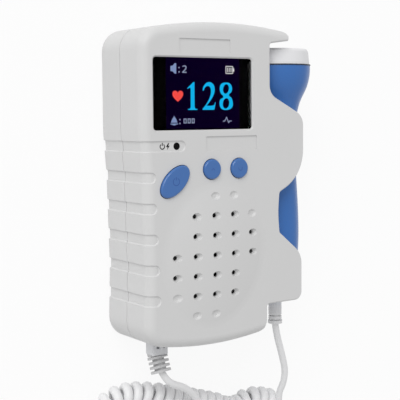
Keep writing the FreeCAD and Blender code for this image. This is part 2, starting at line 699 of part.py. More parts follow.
def rear_shell(block):
    x0, x1, y0, y1, z1 = bay_box()
    shell = block.common(slab(0.0, PARTING))
    shell = shell.cut(cavity(WALL, PARTING + PAST))
    side = DOOR_SIDE + DOOR_RAIL + BAY_WALL
    bed = block.common(box(x0 - side, x1 + side, -FAR, y1 + side, 0, door_top() + DOOR_BED))
    bay = box(x0 - BAY_WALL, x1 + BAY_WALL, y0 - BAY_WALL, y1 + BAY_WALL, WALL, z1 + BAY_WALL)
    bosses = [rod(x, y, WALL - ROOT, PARTING, BOSS_D) for x, y in SCREWS]
    shell = fuse([shell, bed, bay, socket_rest()] + bosses)
    cutters = [box(x0, x1, y0, y1, -PAST, z1), socket_hole()]
    for x, y in SCREWS:
        cutters.append(rod(x, y, -PAST, PARTING + PAST, SCREW_D + 2 * SCREW_FIT))
        cutters.append(rod(x, y, -PAST, SCREW_SINK, SCREW_HEAD_D + 2 * SCREW_FIT))
    return shell.cut(door_space(DOOR_GAP)).cut(fuse(cutters)).removeSplitter()


def battery_door():
    _, _, _, y1, _ = bay_box()
    door = door_space(0.0).common(pillow(0.0)).common(slab(DOOR_SINK, THICK))
    grips = []
    for k in range(DOOR_GRIPS):
        top = y1 - GRIP_T - GRIP_PITCH * k
        grips.append(box(BAY_X - GRIP_W / 2, BAY_X + GRIP_W / 2, top - GRIP_T, top, 0, DOOR_SINK + GRIP_DEEP))
    return door.cut(Part.makeCompound(grips))


def screen_window():
    back_z = THICK - WALL
    glass = rounded_box(SCREEN_X, SCREEN_Y, SCREEN_W - 2 * SCREEN_FIT, SCREEN_H - 2 * SCREEN_FIT,
                        SCREEN_CORNER, back_z, THICK - SCREEN_SINK)
    lip = rounded_box(SCREEN_X, SCREEN_Y, SCREEN_W + 2 * LENS_LIP, SCREEN_H + 2 * LENS_LIP,
                      SCREEN_CORNER, back_z - LENS_LIP_T, back_z)
    return fuse([glass, lip])


def display_module():
    """Lit panel on a frame that stands on the board."""
    top = THICK - WALL - LENS_LIP_T - PANEL_GAP
    low = top - PANEL_T

    def outline(inset, z0, z1):
        return rounded_box(SCREEN_X, SCREEN_Y, PANEL_W - 2 * inset, PANEL_H - 2 * inset, PANEL_CORNER, z0, z1)

    frame = outline(STAND_INSET, BOARD_TOP, low)
    frame = frame.cut(outline(STAND_INSET + STAND_WALL, BOARD_TOP - PAST, low))
    return fuse([outline(0.0, low, top), frame])


def status_light():
    top = THICK - GROOVE_DEEP - LIGHT_SINK
    return fuse([rod(LIGHT_X, GROOVE_TOP_Y, BOARD_TOP, top, LIGHT_D),
                 rod(LIGHT_X, GROOVE_TOP_Y, BOARD_TOP, BOARD_TOP + LIGHT_FLANGE, LIGHT_D + LIGHT_FLANGE)])


def button_heights():
    """Top of the cap, top and bottom of its lip, and bottom of its stem."""
    lip_top = THICK - WALL - BUTTON_SLACK
    stem_low = BOARD_TOP + SWITCH_T + BUTTON_TRAVEL + PLUNGER_GAP
    return THICK + BUTTON_PROUD, lip_top, lip_top - BUTTON_LIP_T, stem_low


def round_button(x):
    top, lip_top, lip_low, stem_low = button_heights()
    cap = rod(x, ROUND_Y, lip_low, top, ROUND_D)
    cap = cap.makeFillet(BUTTON_EDGE, flat_edges(cap, top))
    return fuse([cap, rod(x, ROUND_Y, lip_low, lip_top, ROUND_D + 2 * BUTTON_LIP),
                 rod(x, ROUND_Y, stem_low, lip_low, STEM_D)])


def power_button():
    top, lip_top, lip_low, stem_low = button_heights()
    cap = power_outline(0.0, lip_low, top)
    cap = cap.makeFillet(BUTTON_EDGE, flat_edges(cap, top))
    return fuse([cap, power_outline(BUTTON_LIP, lip_low, lip_top),
                 rod(POWER_X, POWER_Y, stem_low, lip_low, STEM_D)])


def key_switches():
    """Switch under each button, its plunger above its case."""
    solids = []
    shoulder = BOARD_TOP + SWITCH_T - SWITCH_CAP
    for x, y in [(POWER_X, POWER_Y)] + [(x, ROUND_Y) for x in ROUND_X]:
        case = rounded_box(x, y, SWITCH, SWITCH, CHIP_CORNER, BOARD_TOP, shoulder)
        solids.append(fuse([case, rod(x, y, shoulder - ROOT, BOARD_TOP + SWITCH_T, STEM_D)]))
    return Part.makeCompound(solids)


def main_board():
    (x0, x1), (y0, y1) = BOARD_X, BOARD_Y
    return rounded_box((x0 + x1) / 2, (y0 + y1) / 2, x1 - x0, y1 - y0, BOARD_CORNER,
                       BOARD_TOP - BOARD_T, BOARD_TOP)


def board_chips():
    """Processor and amplifiers on the back of the board."""
    z1 = BOARD_TOP - BOARD_T
    return Part.makeCompound([rounded_box(x, y, size, size, CHIP_CORNER, z1 - CHIP_T, z1) for x, y, size in CHIPS])


def speaker_rod(z0, z1, diameter):
    return rod(DOME_X, DOME_Y, z0, z1, diameter)


def speaker_funnel(z0, z1, low_d, high_d):
    return Part.makeCone(low_d / 2, high_d / 2, z1 - z0, Vector(DOME_X, DOME_Y, z0))


def speaker_frame():
    """Pressed basket with its flange and magnet, open to the front."""
    top = THICK - WALL
    low = top - SPEAKER_DEEP
    rim = top - SPEAKER_FLANGE
    cup = low + MAGNET_T
    outside = speaker_funnel(cup, rim, MAGNET_D + 2 * BASKET_T, CONE_D + BASKET_T)
    body = fuse([speaker_rod(rim, top, SPEAKER_D), outside, speaker_rod(low, cup, MAGNET_D)])
    inside = speaker_funnel(cup, rim, MAGNET_D - BASKET_T, CONE_D)
    return body.cut(inside.fuse(speaker_rod(rim, top + PAST, CONE_D)))


def speaker_cone():
    """Paper cone and dust cap, its flat rim glued inside the flange."""
    rim = THICK - WALL - SPEAKER_FLANGE
    low = rim - CONE_DEEP
    inner_d = CONE_D - 2 * CONE_RIM
    outer = speaker_funnel(low, rim + CONE_T, CONE_ROOT_D, inner_d)
    inner = speaker_funnel(low + CONE_T, rim + 2 * CONE_T, CONE_ROOT_D, inner_d)
    edge = speaker_rod(rim, rim + CONE_T, CONE_D).cut(speaker_rod(rim - PAST, rim + PAST, inner_d - CONE_RIM))
    sink = math.sqrt(CAP_SPHERE_R ** 2 - (CONE_ROOT_D / 2) ** 2)
    cap = Part.makeSphere(CAP_SPHERE_R, Vector(DOME_X, DOME_Y, low - sink))
    return fuse([outer.cut(inner), edge, cap.common(speaker_rod(low, rim + PAST, CONE_ROOT_D))])


def cell_axes():
    """Place of each cell and the end that its button points to."""
    z = door_top() + CELL_CLEAR + CELL_D / 2
    offset = CELL_D / 2 + CELL_GAP / 2
    return [(BAY_X - offset, z, 1), (BAY_X + offset, z, -1)]


def battery_cells():
    """Two size AA cells, their button ends at opposite ends of the bay."""
    _, _, y0, y1, _ = bay_box()
    solids = []
    for x, z, way in cell_axes():
        start = Vector(x, y1 - PLATE_T if way > 0 else y0 + PLATE_T, z)
        back = Vector(0, -way, 0)
        body = Part.makeCylinder(CELL_D / 2, CELL_LEN, start + back * NIPPLE_LEN, back)
        ends = [e for e in body.Edges if e.Curve.TypeId == "Part::GeomCircle"]
        body = body.makeFillet(CELL_EDGE, ends)
        solids.append(fuse([body, Part.makeCylinder(NIPPLE_D / 2, NIPPLE_LEN + ROOT, start, back)]))
    return Part.makeCompound(solids)


def battery_contacts():
    """Plates at the button ends and a conical spring on its plate at the flat ends."""
    _, _, y0, y1, _ = bay_box()
    half = PLATE_W / 2
    root_r, top_r = SPRING_ROOT_D / 2, SPRING_TOP_D / 2
    solids = []
    for x, z, way in cell_axes():
        low_plate = box(x - half, x + half, y0, y0 + PLATE_T, z - half, z + half)
        high_plate = box(x - half, x + half, y1 - PLATE_T, y1, z - half, z + half)
        foot = Vector(x, y0 + PLATE_T if way > 0 else y1 - PLATE_T, z)
        spring = Part.makeCone(root_r, top_r, SPRING_LEN - SPRING_SLACK, foot, Vector(0, way, 0))
        core = Part.makeCone(root_r - SPRING_T, top_r - SPRING_T, SPRING_LEN, foot, Vector(0, way, 0))
        button_plate, spring_plate = (high_plate, low_plate) if way > 0 else (low_plate, high_plate)
        solids += [button_plate, fuse([spring_plate, spring.cut(core)])]
    return Part.makeCompound(solids)


def case_screws():
    solids = []
    low = SCREW_SINK - SCREW_HEAD_T
    for x, y in SCREWS:
        head = rod(x, y, low, SCREW_SINK, SCREW_HEAD_D)
        shank = rod(x, y, SCREW_SINK - ROOT, PARTING + SCREW_BITE, SCREW_D - SCREW_FIT)
        cross = [box(x - a / 2, x + a / 2, y - b / 2, y + b / 2, low - PAST, low + DRIVE_DEEP)
                 for a, b in ((DRIVE_WIDE, DRIVE_LONG), (DRIVE_LONG, DRIVE_WIDE))]
        solids.append(fuse([head, shank]).cut(fuse(cross)))
    return Part.makeCompound(solids)


def socket_low_y():
    """Inside of the lower end wall at the socket's outer corner, with a gap."""
    out = PLUG_X - PLUG_W / 2 - PLUG_FIT - SOCKET_WALL - LOW_END[0]
    return -LENGTH / 2 + WALL + out ** 2 / (2 * LOW_END[1]) + SOCKET_BACK


def cord_socket():
    x0, x1, z0, z1 = socket_opening()
    y0 = socket_low_y()
    shell = box(x0 - SOCKET_WALL, x1 + SOCKET_WALL, y0, SOCKET_DEEP_Y, z0 - SOCKET_WALL, z1 + SOCKET_WALL)
    return shell.cut(box(x0, x1, y0 - PAST, PLUG_IN_Y + PLUG_FIT, z0, z1))


def socket_rest():
    """Block on the rear half that carries the socket."""
    x0, x1, z0, _ = socket_opening()
    return box(x0, x1, PLUG_IN_Y, SOCKET_DEEP_Y, WALL, z0 - SOCKET_WALL)


def probe_housing():
    pocket = along_probe(SEAM_Y - POCKET_DEEP, SEAM_Y + PAST, DISC_R + DISC_FIT)
    return spin(probe_section(0.0)).cut(pocket)


def probe_seam_ring():
    ring = along_probe(SEAM_Y, SEAM_Y + RING_T, HEAD_R)
    return ring.cut(along_probe(SEAM_Y - PAST, SEAM_Y + PAST, DISC_R + DISC_FIT))


def probe_head_cap():
    base = SEAM_Y + RING_T
    cap = Part.makeCone(CAP_R, CAP_R - CAP_DRAFT, HEAD_TOP_Y - base, Vector(PROBE_X, base, PARTING), Vector(0, 1, 0))
    rim = [e for e in cap.Edges if e.BoundBox.YMin > HEAD_TOP_Y - 1e-4]
    cap = cap.makeFillet(CAP_EDGE, rim)
    return cap.cut(along_probe(base - PAST, base + DISC_RISE, DISC_R + DISC_FIT))


def transducer_discs():
    """Two half discs, one that sends and one that listens, behind the cap."""
    top = SEAM_Y + RING_T + DISC_RISE
    gap = box(PROBE_X - DISC_SPLIT / 2, PROBE_X + DISC_SPLIT / 2, top - PAST, top + PAST, -FAR, FAR)
    return along_probe(top - DISC_T, top, DISC_R).cut(gap)


def transducer_backing():
    return along_probe(SEAM_Y - POCKET_DEEP, SEAM_Y + RING_T + DISC_RISE - DISC_T, DISC_R)


def probe_strain_relief():
    """Smooth sleeve that ends in two slit rings."""
    end = RELIEF_END_Y
    slit = end + RELIEF_RING + RELIEF_SLIT
    return fuse([along_probe(TAIL_END_Y, end, RELIEF_CORE_D / 2),
                 along_probe(TAIL_END_Y, slit + RELIEF_RING + RELIEF_SLIT, RELIEF_D / 2),
                 along_probe(slit + RELIEF_RING, slit, RELIEF_D / 2),
                 along_probe(end + RELIEF_RING, end, RELIEF_COLLAR_D / 2)])


def plug_body():
    """Clear modular plug with a sprung latch between two slots."""
    x0, x1 = PLUG_X - PLUG_W / 2, PLUG_X + PLUG_W / 2
    z0, z1 = PARTING - PLUG_H / 2, PARTING + PLUG_H / 2
    body = box(x0, x1, PLUG_LOW_Y, PLUG_IN_Y, z0, z1)
    body = body.makeChamfer(PLUG_EDGE, body.Edges)
    half = LATCH_W / 2 + NOTCH_SIDE
    notch = box(PLUG_X - half, PLUG_X + half, LATCH_LOW_Y, LATCH_LOW_Y + NOTCH_LONG, z1 - NOTCH_DEEP, z1 + PAST)
    latch = box(PLUG_X - LATCH_W / 2, PLUG_X + LATCH_W / 2, LATCH_LOW_Y - LATCH_ROOT, PLUG_IN_Y - PLUG_EDGE,
                z1 - LATCH_ROOT, z1 + LATCH_T)
    return fuse([body.cut(notch), latch]).cut(plug_contacts())


def plug_contacts():
    """Gilt blades in slots at the plug's nose."""
    z0 = PARTING - PLUG_H / 2
    blades = []
    for k in range(CONTACTS):
        x = PLUG_X + (k - (CONTACTS - 1) / 2) * CONTACT_PITCH
        blades.append(box(x - CONTACT_W / 2, x + CONTACT_W / 2, PLUG_IN_Y - CONTACT_LEN, PLUG_IN_Y - CONTACT_PROUD,
                          z0 - CONTACT_PROUD, z0 + CONTACT_H))
    return Part.makeCompound(blades)


def plug_boot():
    """Flexible sleeve with separate ribs, leaning the way that the cord pulls it."""
    boot = [rod(0, 0, -PAST, BOOT_END, BOOT_CORE_D)]
    boot.append(rounded_box(0, 0, PLUG_W - 2 * PLUG_EDGE, PLUG_H - 2 * PLUG_EDGE, BOOT_ROOT, -PAST, BOOT_ROOT))
    for k in range(RIB_COUNT):
        z1 = BOOT_END - k * RIB_PITCH
        boot.append(rounded_box(0, 0, RIB_W, RIB_H, RIB_H / 2 - BOOT_ROOT, z1 - RIB_T, z1))
    bore = rod(0, 0, BOOT_END - BOOT_BORE_DEEP, BOOT_END + PAST, CORD_D + 2 * BOOT_BORE_FIT)
    boot = fuse(boot).cut(bore)
    boot.rotate(Vector(0, 0, 0), Vector(1, 0, 0), 90 - BOOT_RISE)
    boot.rotate(Vector(0, 0, 0), Vector(0, 0, 1), BOOT_LEAN)
    boot.translate(Vector(PLUG_X, PLUG_LOW_Y, PARTING))
    return boot.cut(box(-FAR, FAR, PLUG_LOW_Y, FAR, 0, THICK))


def route_tube(name, points, diameter):
    """Tube along straight runs joined by tangent arcs."""
    route = [Vector(x, y - LENGTH / 2, z) for x, y, z in points]
    edges, radii, start = [], [], route[0]
    for before, here, after in zip(route, route[1:], route[2:]):
        u, v = (before - here), (after - here)
        tangent = BEND_SHARE * min(u.Length, v.Length)
        u.normalize()
        v.normalize()
        half = u.getAngle(v) / 2
        radius = tangent * math.tan(half)
        a, b = here + u * tangent, here + v * tangent
        middle = here + (u + v).normalize() * (radius / math.sin(half) - radius)
        edges += [Part.LineSegment(start, a).toShape(), Part.Arc(a, middle, b).toShape()]
        radii.append(round(radius, 1))
        start = b
    edges.append(Part.LineSegment(start, route[-1]).toShape())
    path = Part.Wire(edges)
    ring = Part.Wire([Part.Circle(route[0], route[1] - route[0], diameter / 2).toShape()])
    tube = path.makePipeShell([ring], True, False)
    ideal = math.pi * diameter ** 2 / 4 * path.Length
    print(name, "radii", radii, "length", round(path.Length, 1), "volume share", round(tube.Volume / ideal, 4))
    return tube


def build():
    block = whole_case()
    return {
        "front_shell": front_shell(block),
        "rear_shell": rear_shell(block),
        "battery_door": battery_door(),
        "screen_window": screen_window(),
        "display_module": display_module(),
        "status_light": status_light(),
        "power_button": power_button(),
        "round_button_left": round_button(ROUND_X[0]),
        "round_button_right": round_button(ROUND_X[1]),
        "key_switches": key_switches(),
        "main_board": main_board(),
        "board_chips": board_chips(),
        "speaker_frame": speaker_frame(),
        "speaker_cone": speaker_cone(),
        "battery_cells": battery_cells(),
        "battery_contacts": battery_contacts(),
        "case_screws": case_screws(),
        "cord_socket": cord_socket(),
        "probe_housing": probe_housing(),
        "probe_seam_ring": probe_seam_ring(),
        "probe_head_cap": probe_head_cap(),
        "transducer_discs": transducer_discs(),
        "transducer_backing": transducer_backing(),
        "probe_strain_relief": probe_strain_relief(),
        "plug_body": plug_body(),
        "plug_contacts": plug_contacts(),
        "plug_boot": plug_boot(),
        "plug_lead": route_tube("plug_lead", PLUG_LEAD, CORD_D),
        "cord_coil": route_tube("cord_coil", COIL_LINE, COIL_D),
        "probe_lead": route_tube("probe_lead", PROBE_LEAD, CORD_D),
    }


os.makedirs("parts", exist_ok=True)
for node, shape in build().items():
    shape.exportStep("parts/%s.step" % node)
    bounds = shape.optimalBoundingBox(False, False)
    print("%-20s valid %s solids %d  x %.2f..%.2f y %.2f..%.2f z %.2f..%.2f" % (
        node, shape.isValid(), len(shape.Solids), bounds.XMin, bounds.XMax,
        bounds.YMin, bounds.YMax, bounds.ZMin, bounds.ZMax))
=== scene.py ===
"""Looks of a hand-held fetal doppler monitor: the cased unit, its docked probe and the curly cord."""
import math

import bpy
from bpy.props import FloatProperty, FloatVectorProperty, IntProperty, PointerProperty
from bpy.types import Operator, Panel, PropertyGroup
from mathutils import Matrix, Vector


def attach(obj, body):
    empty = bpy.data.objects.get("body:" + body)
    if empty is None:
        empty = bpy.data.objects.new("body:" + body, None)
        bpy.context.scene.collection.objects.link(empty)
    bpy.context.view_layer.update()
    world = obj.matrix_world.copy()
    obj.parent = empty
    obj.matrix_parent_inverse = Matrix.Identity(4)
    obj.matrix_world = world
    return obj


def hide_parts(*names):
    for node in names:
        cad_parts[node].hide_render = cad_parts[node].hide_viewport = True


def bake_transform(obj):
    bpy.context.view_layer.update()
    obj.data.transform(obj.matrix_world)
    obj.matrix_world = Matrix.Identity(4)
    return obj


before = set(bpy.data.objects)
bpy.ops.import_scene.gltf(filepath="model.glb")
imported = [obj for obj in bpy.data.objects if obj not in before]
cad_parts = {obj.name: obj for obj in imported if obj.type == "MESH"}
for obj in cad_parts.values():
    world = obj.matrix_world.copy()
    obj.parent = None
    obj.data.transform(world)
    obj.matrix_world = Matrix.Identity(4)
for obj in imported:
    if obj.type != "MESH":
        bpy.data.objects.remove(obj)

bl_info = {
    "name": "Fetal doppler monitor",
    "version": (1, 0, 0),
    "blender": (4, 5, 0),
    "location": "View3D > Sidebar > Doppler",
    "description": "Finishes a hand-held fetal doppler monitor with its screen, probe and curly cord",
    "category": "Object",
}

MM = 0.001
# Room between the case and the table, and the width of the camera's sensor.
FLOOR_GAP = 0.2 * MM
SENSOR_MM = 36.0

# Route of the cord, in metres: from the boot of the plug, over the coil and along the table.
PLUG_LEAD = (
    (-0.0299, -0.0766, 0.0199), (-0.0279, -0.0803, 0.0202), (-0.0246, -0.0830, 0.0203),
    (-0.0184, -0.0853, 0.0192), (-0.0118, -0.0901, 0.0176), (-0.0079, -0.0967, 0.0159),
    (-0.0062, -0.1042, 0.0145), (-0.0069, -0.1112, 0.0106), (-0.0108, -0.1158, 0.0056),
    (-0.0174, -0.1177, 0.0024), (-0.0260, -0.1162, 0.00155), (-0.0370, -0.1112, 0.0015))
# Middle line of the curly part.
COIL_LINE = (
    (-0.0536, -0.1106, 0.0063), (-0.0536, -0.0979, 0.0063), (-0.0451, -0.0894, 0.0063),
    (-0.0330, -0.0892, 0.0063), (-0.0140, -0.0942, 0.0063), (0.0036, -0.0995, 0.0063),
    (0.0156, -0.1042, 0.0063), (0.0268, -0.0992, 0.0063), (0.0382, -0.1042, 0.0063))
# From the probe's strain relief to the last turn.
PROBE_LEAD = (
    (0.0304, -0.0639, 0.0180), (0.0313, -0.0694, 0.0180), (0.0342, -0.0782, 0.0178),
    (0.0369, -0.0866, 0.0171), (0.0370, -0.0930, 0.0152), (0.0366, -0.0970, 0.0129))
# Where the last turn runs into the probe's lead.
TURN_END = ((0.0373, -0.1031, 0.0111), (0.0371, -0.1003, 0.0120))
# The first turn starts at this angle, and the last one goes on by a share of a turn to meet the lead.
FIRST_ANGLE = math.pi / 4
LAST_SHARE = 0.0625
# Room kept free at both ends of the coil together, in insets.
FREE_ENDS = 1.5
# The turns' lean grows from each end of the coil, and is full after one part in this many of it.
LEAN_RISE = 6

# Outlines on the display, as parts of their height.  A third item marks a sharp corner.
ONE = ((0.08, 0.0, "c"), (0.48, 0.0, "c"), (0.48, 0.035, "c"), (0.39, 0.055), (0.36, 0.12, "c"),
       (0.36, 1.0, "c"), (0.325, 1.0, "c"), (0.055, 0.775, "c"), (0.07, 0.745, "c"), (0.16, 0.79),
       (0.20, 0.76, "c"), (0.195, 0.12, "c"), (0.17, 0.055), (0.08, 0.035, "c"))
TWO = ((0.03, 0.0, "c"), (0.54, 0.0, "c"), (0.60, 0.27, "c"), (0.57, 0.27, "c"), (0.54, 0.19), (0.46, 0.155),
       (0.20, 0.15, "c"), (0.37, 0.33), (0.51, 0.54), (0.56, 0.74), (0.49, 0.93), (0.31, 1.0), (0.13, 0.91),
       (0.045, 0.70), (0.075, 0.68, "c"), (0.14, 0.80), (0.26, 0.86), (0.36, 0.81), (0.395, 0.66),
       (0.34, 0.45), (0.20, 0.22), (0.03, 0.035, "c"))
EIGHT = ((0.30, 0.0), (0.57, 0.10), (0.60, 0.27), (0.54, 0.44), (0.43, 0.54), (0.54, 0.66), (0.57, 0.78),
         (0.49, 0.95), (0.30, 1.0), (0.09, 0.94), (0.025, 0.77), (0.075, 0.60), (0.18, 0.48), (0.05, 0.38),
         (0.01, 0.24), (0.08, 0.06))
# The two eyes of the eight: middle, half width, half height and tilt in degrees.
EIGHT_UPPER = (0.30, 0.765, 0.125, 0.175, 15.0)
EIGHT_LOWER = (0.30, 0.24, 0.14, 0.19, 14.0)
THIN_TWO = ((0.0, 0.0, "c"), (0.72, 0.0, "c"), (0.72, 0.12, "c"), (0.20, 0.12, "c"), (0.46, 0.35),
            (0.65, 0.56), (0.70, 0.74), (0.58, 0.94), (0.35, 1.0), (0.14, 0.955), (0.03, 0.87, "c"),
            (0.07, 0.77, "c"), (0.18, 0.86), (0.34, 0.89), (0.48, 0.85), (0.55, 0.72), (0.50, 0.57),
            (0.31, 0.37), (0.0, 0.11, "c"))
HEART = ((0.56, 0.0, "c"), (0.20, 0.30), (0.03, 0.56), (0.04, 0.83), (0.26, 0.97), (0.46, 0.91),
         (0.56, 0.78, "c"), (0.66, 0.91), (0.86, 0.97), (1.08, 0.83), (1.09, 0.56), (0.92, 0.30))
HORN = ((0.0, 0.24, "c"), (0.22, 0.24, "c"), (0.48, 0.0, "c"), (0.64, 0.0, "c"), (0.64, 1.0, "c"),
        (0.48, 1.0, "c"), (0.22, 0.74, "c"), (0.0, 0.74, "c"))
BELL = ((0.06, 0.30, "c"), (0.80, 0.30, "c"), (0.75, 0.46), (0.62, 0.70), (0.50, 0.84), (0.44, 1.0, "c"),
        (0.42, 1.0, "c"), (0.36, 0.84), (0.24, 0.70), (0.11, 0.46))
CLAPPER = ((-0.02, 0.13, "c"), (0.22, 0.10, "c"), (0.43, 0.0, "c"), (0.64, 0.10, "c"), (0.88, 0.13, "c"),
           (0.88, 0.21, "c"), (-0.02, 0.21, "c"))
CELL = ((0.0, 0.0, "c"), (1.17, 0.0, "c"), (1.17, 0.28, "c"), (1.36, 0.28, "c"), (1.36, 0.72, "c"),
        (1.17, 0.72, "c"), (1.17, 1.0, "c"), (0.0, 1.0, "c"))
TRACE = ((0.0, 0.35, "c"), (0.5, 0.35, "c"), (0.85, 1.0, "c"), (1.35, -0.05, "c"), (1.6, 0.35, "c"),
         (2.1, 0.35, "c"), (2.1, 0.5, "c"), (1.5, 0.5, "c"), (1.35, 0.27, "c"), (0.87, 1.3, "c"),
         (0.42, 0.5, "c"), (0.0, 0.5, "c"))

# Layout of the display in millimetres from the lower left corner of the lit area.
# Left and lower edge of each figure.
ONE_PLACE = (9.2, 7.4)
TWO_PLACE = (16.7, 7.4)
EIGHT_PLACE = (25.1, 7.3)
# Left edge, lower edge and height of each sign and mark.
HORN_PLACE = (2.1, 21.65, 4.15)
BELL_PLACE = (1.85, 1.25, 4.0)
HEART_PLACE = (2.85, 10.65, 4.5)
THIN_TWO_PLACE = (7.55, 22.1, 2.85)
TRACE_PLACE = (26.8, 1.9, 2.1)
CELL_PLACE = (28.3, 21.95, 3.1)
# Square dots after the horn and the bell.
DOT = 0.5
DOT_PLACES = ((5.8, 23.85), (5.8, 22.15), (6.0, 3.35), (6.0, 1.85))
# Level boxes with thin walls: left edges, lower edge, width and height.
BOX_LEFTS = (8.0, 9.9, 11.8)
BOX_LOW, BOX_WIDTH, BOX_HEIGHT, BOX_WALL = 2.1, 1.3, 1.9, 0.3
# Hollow of the battery sign and the bars in it.
CELL_HOLLOW = (28.6, 22.25, 31.62, 24.75)
BAR_LEFTS = (29.08, 29.94, 30.8)
BAR_LOW, BAR_TOP, BAR_WIDTH = 22.65, 24.35, 0.34

# Heights in millimetres: of the display's signs over their ground, and of the printing over the case.
SIGN_LAYER = 0.1
PRINT_LAYER = 0.01
# Half the thickness of every flat sign, in millimetres.
SIGN_HALF_THICKNESS = 0.01
# What lies within this many millimetres of a button's highest point counts as its flat top.
FLAT_WITHIN = 0.01

# Printed and moulded marks on the case, in millimetres round their own middle.
FLASH = ((0.15, 1.3, "c"), (-0.85, -0.25, "c"), (-0.1, -0.2, "c"), (-0.35, -1.35, "c"), (0.85, 0.3, "c"),
         (0.15, 0.25, "c"), (0.65, 1.3, "c"))
CARET = ((-0.8, -0.45, "c"), (0.0, 0.2, "c"), (0.8, -0.45, "c"), (0.8, -0.15, "c"), (0.0, 0.5, "c"),
         (-0.8, -0.15, "c"))
# Open rings: outer and inner radius, and the angles in degrees where they start and end.
PRINTED_RING = (1.2, 0.8, 125, 415)
POWER_RING = (1.6, 1.3, 115, 425)
RIGHT_RING = (1.0, 0.75, -200, 40)
# Steps along an open ring.
RING_STEPS = 12
# Bars of the power signs, by two corners.
PRINTED_BAR = (-0.2, 0.3, 0.2, 1.5)
POWER_BAR = (-0.15, 0.6, 0.15, 1.9)
# How far across the printed power sign and the flash stand from their common middle.
PRINTED_PLACES = (-1.2, 1.3)


def linear(hex_colour):
    """sRGB hex value as the linear colour that a shader takes."""
    value = hex_colour.lstrip("#")
    channels = [int(value[i:i + 2], 16) / 255 for i in (0, 2, 4)]
    return tuple(c / 12.92 if c <= 0.04045 else ((c + 0.055) / 1.055) ** 2.4 for c in channels)


# ---- sizes and colours that a user may change ------------------------------------------------
def colour_property(name, description, hex_colour):
    """Colour that a user may pick, with an sRGB hex value as its default."""
    return FloatVectorProperty(name=name, description=description, subtype="COLOR", size=3,
                               min=0.0, max=1.0, default=linear(hex_colour))


class CaseFinish(PropertyGroup):
    """Looks of the case, its status light and its printing"""
    shell: colour_property("Case", "Moulded ABS of both case halves and the battery door", "#dadada")
    # Painted shade: the dark colour on the closed ends of the speaker's holes stands in for the shade inside
    # open holes.
    hole_shade: colour_property("Hole shade", "Dark paint on the closed deep ends of the speaker's holes", "#050506")
    hole_shade_centre: FloatVectorProperty(name="Shield centre", size=3, unit="LENGTH", subtype="TRANSLATION",
                                       description="Middle of the paint, under the dome",
                                       default=(-12.6 * MM, -28.0 * MM, 31.5 * MM))
    hole_shade_reach: FloatVectorProperty(name="Shield reach", size=3, unit="LENGTH", subtype="TRANSLATION",
                                      description="How far the paint goes across, along and up",
                                      default=(26.0 * MM, 31.0 * MM, 2.8 * MM))
    hole_shade_tilt: FloatProperty(name="Shield tilt", description="Turn of the painted oval, as the dome's",
                               default=math.radians(-14), min=-math.pi, max=math.pi, unit="ROTATION")
    ink: colour_property("Ink", "Printing ink of the power sign and the flash", "#1a1a1c")
    ink_place: FloatVectorProperty(name="Ink place", size=3, unit="LENGTH", subtype="TRANSLATION",
                                   description="Middle of the printed signs, beside the light",
                                   default=(-35.5 * MM, 16.2 * MM, 34.4 * MM))
    lens: colour_property("Light lens", "Dark lens of the status light", "#060607")
    grain_mm: FloatProperty(name="Grain", description="Spacing of the spark-eroded grain, in millimetres",
                            default=0.35, min=0.05, max=2.0)


class ProbeFinish(PropertyGroup):
    """Looks of the probe and the buttons"""
    blue: colour_property("Probe", "Blue ABS of the probe", "#346fba")
    keys: colour_property("Buttons", "Blue ABS of the three buttons", "#3d6fb4")
    # The marks' darker colour is painted shade, standing in for the shade in sunk marks.
    marks: colour_property("Button marks", "Faint marks moulded in the buttons", "#2c589f")
    seam: colour_property("Seam ring", "Dark ring between the probe's body and its cap", "#26303e")
    cap: colour_property("Cap", "Pale cap over the transducer", "#ececee")


class ScreenGraphics(PropertyGroup):
    """Colours and place of what the display shows"""
    ground: colour_property("Ground", "Dark blue ground of the lit area", "#06001b")
    lit: colour_property("Figures", "Colour of the large figures", "#12b4ee")
    heart: colour_property("Heart", "Colour of the heart sign", "#f64e48")
    signs: colour_property("Signs", "Colour of the horn and the bell", "#8093bd")
    marks: colour_property("Marks", "Colour of the dots, small figure, boxes and pulse trace", "#9aa6c4")
    battery: colour_property("Battery", "Colour of the battery sign", "#e0e0e0")
    width: FloatProperty(name="Width", description="Width of the lit area", default=35.04 * MM,
                         min=0.005, max=0.1, unit="LENGTH")
    height: FloatProperty(name="Height", description="Height of the lit area", default=28.0 * MM,
                          min=0.005, max=0.1, unit="LENGTH")
    corner: FloatVectorProperty(name="Corner", description="Lower left corner of the lit area, on the panel",
                                size=3, unit="LENGTH", subtype="TRANSLATION",
                                default=(-33.2 * MM, 23.0 * MM, 31.42 * MM))
    figure_height: FloatProperty(name="Figure height", description="Height of the large figures",
                                 default=11.1 * MM, min=0.002, max=0.02, unit="LENGTH")


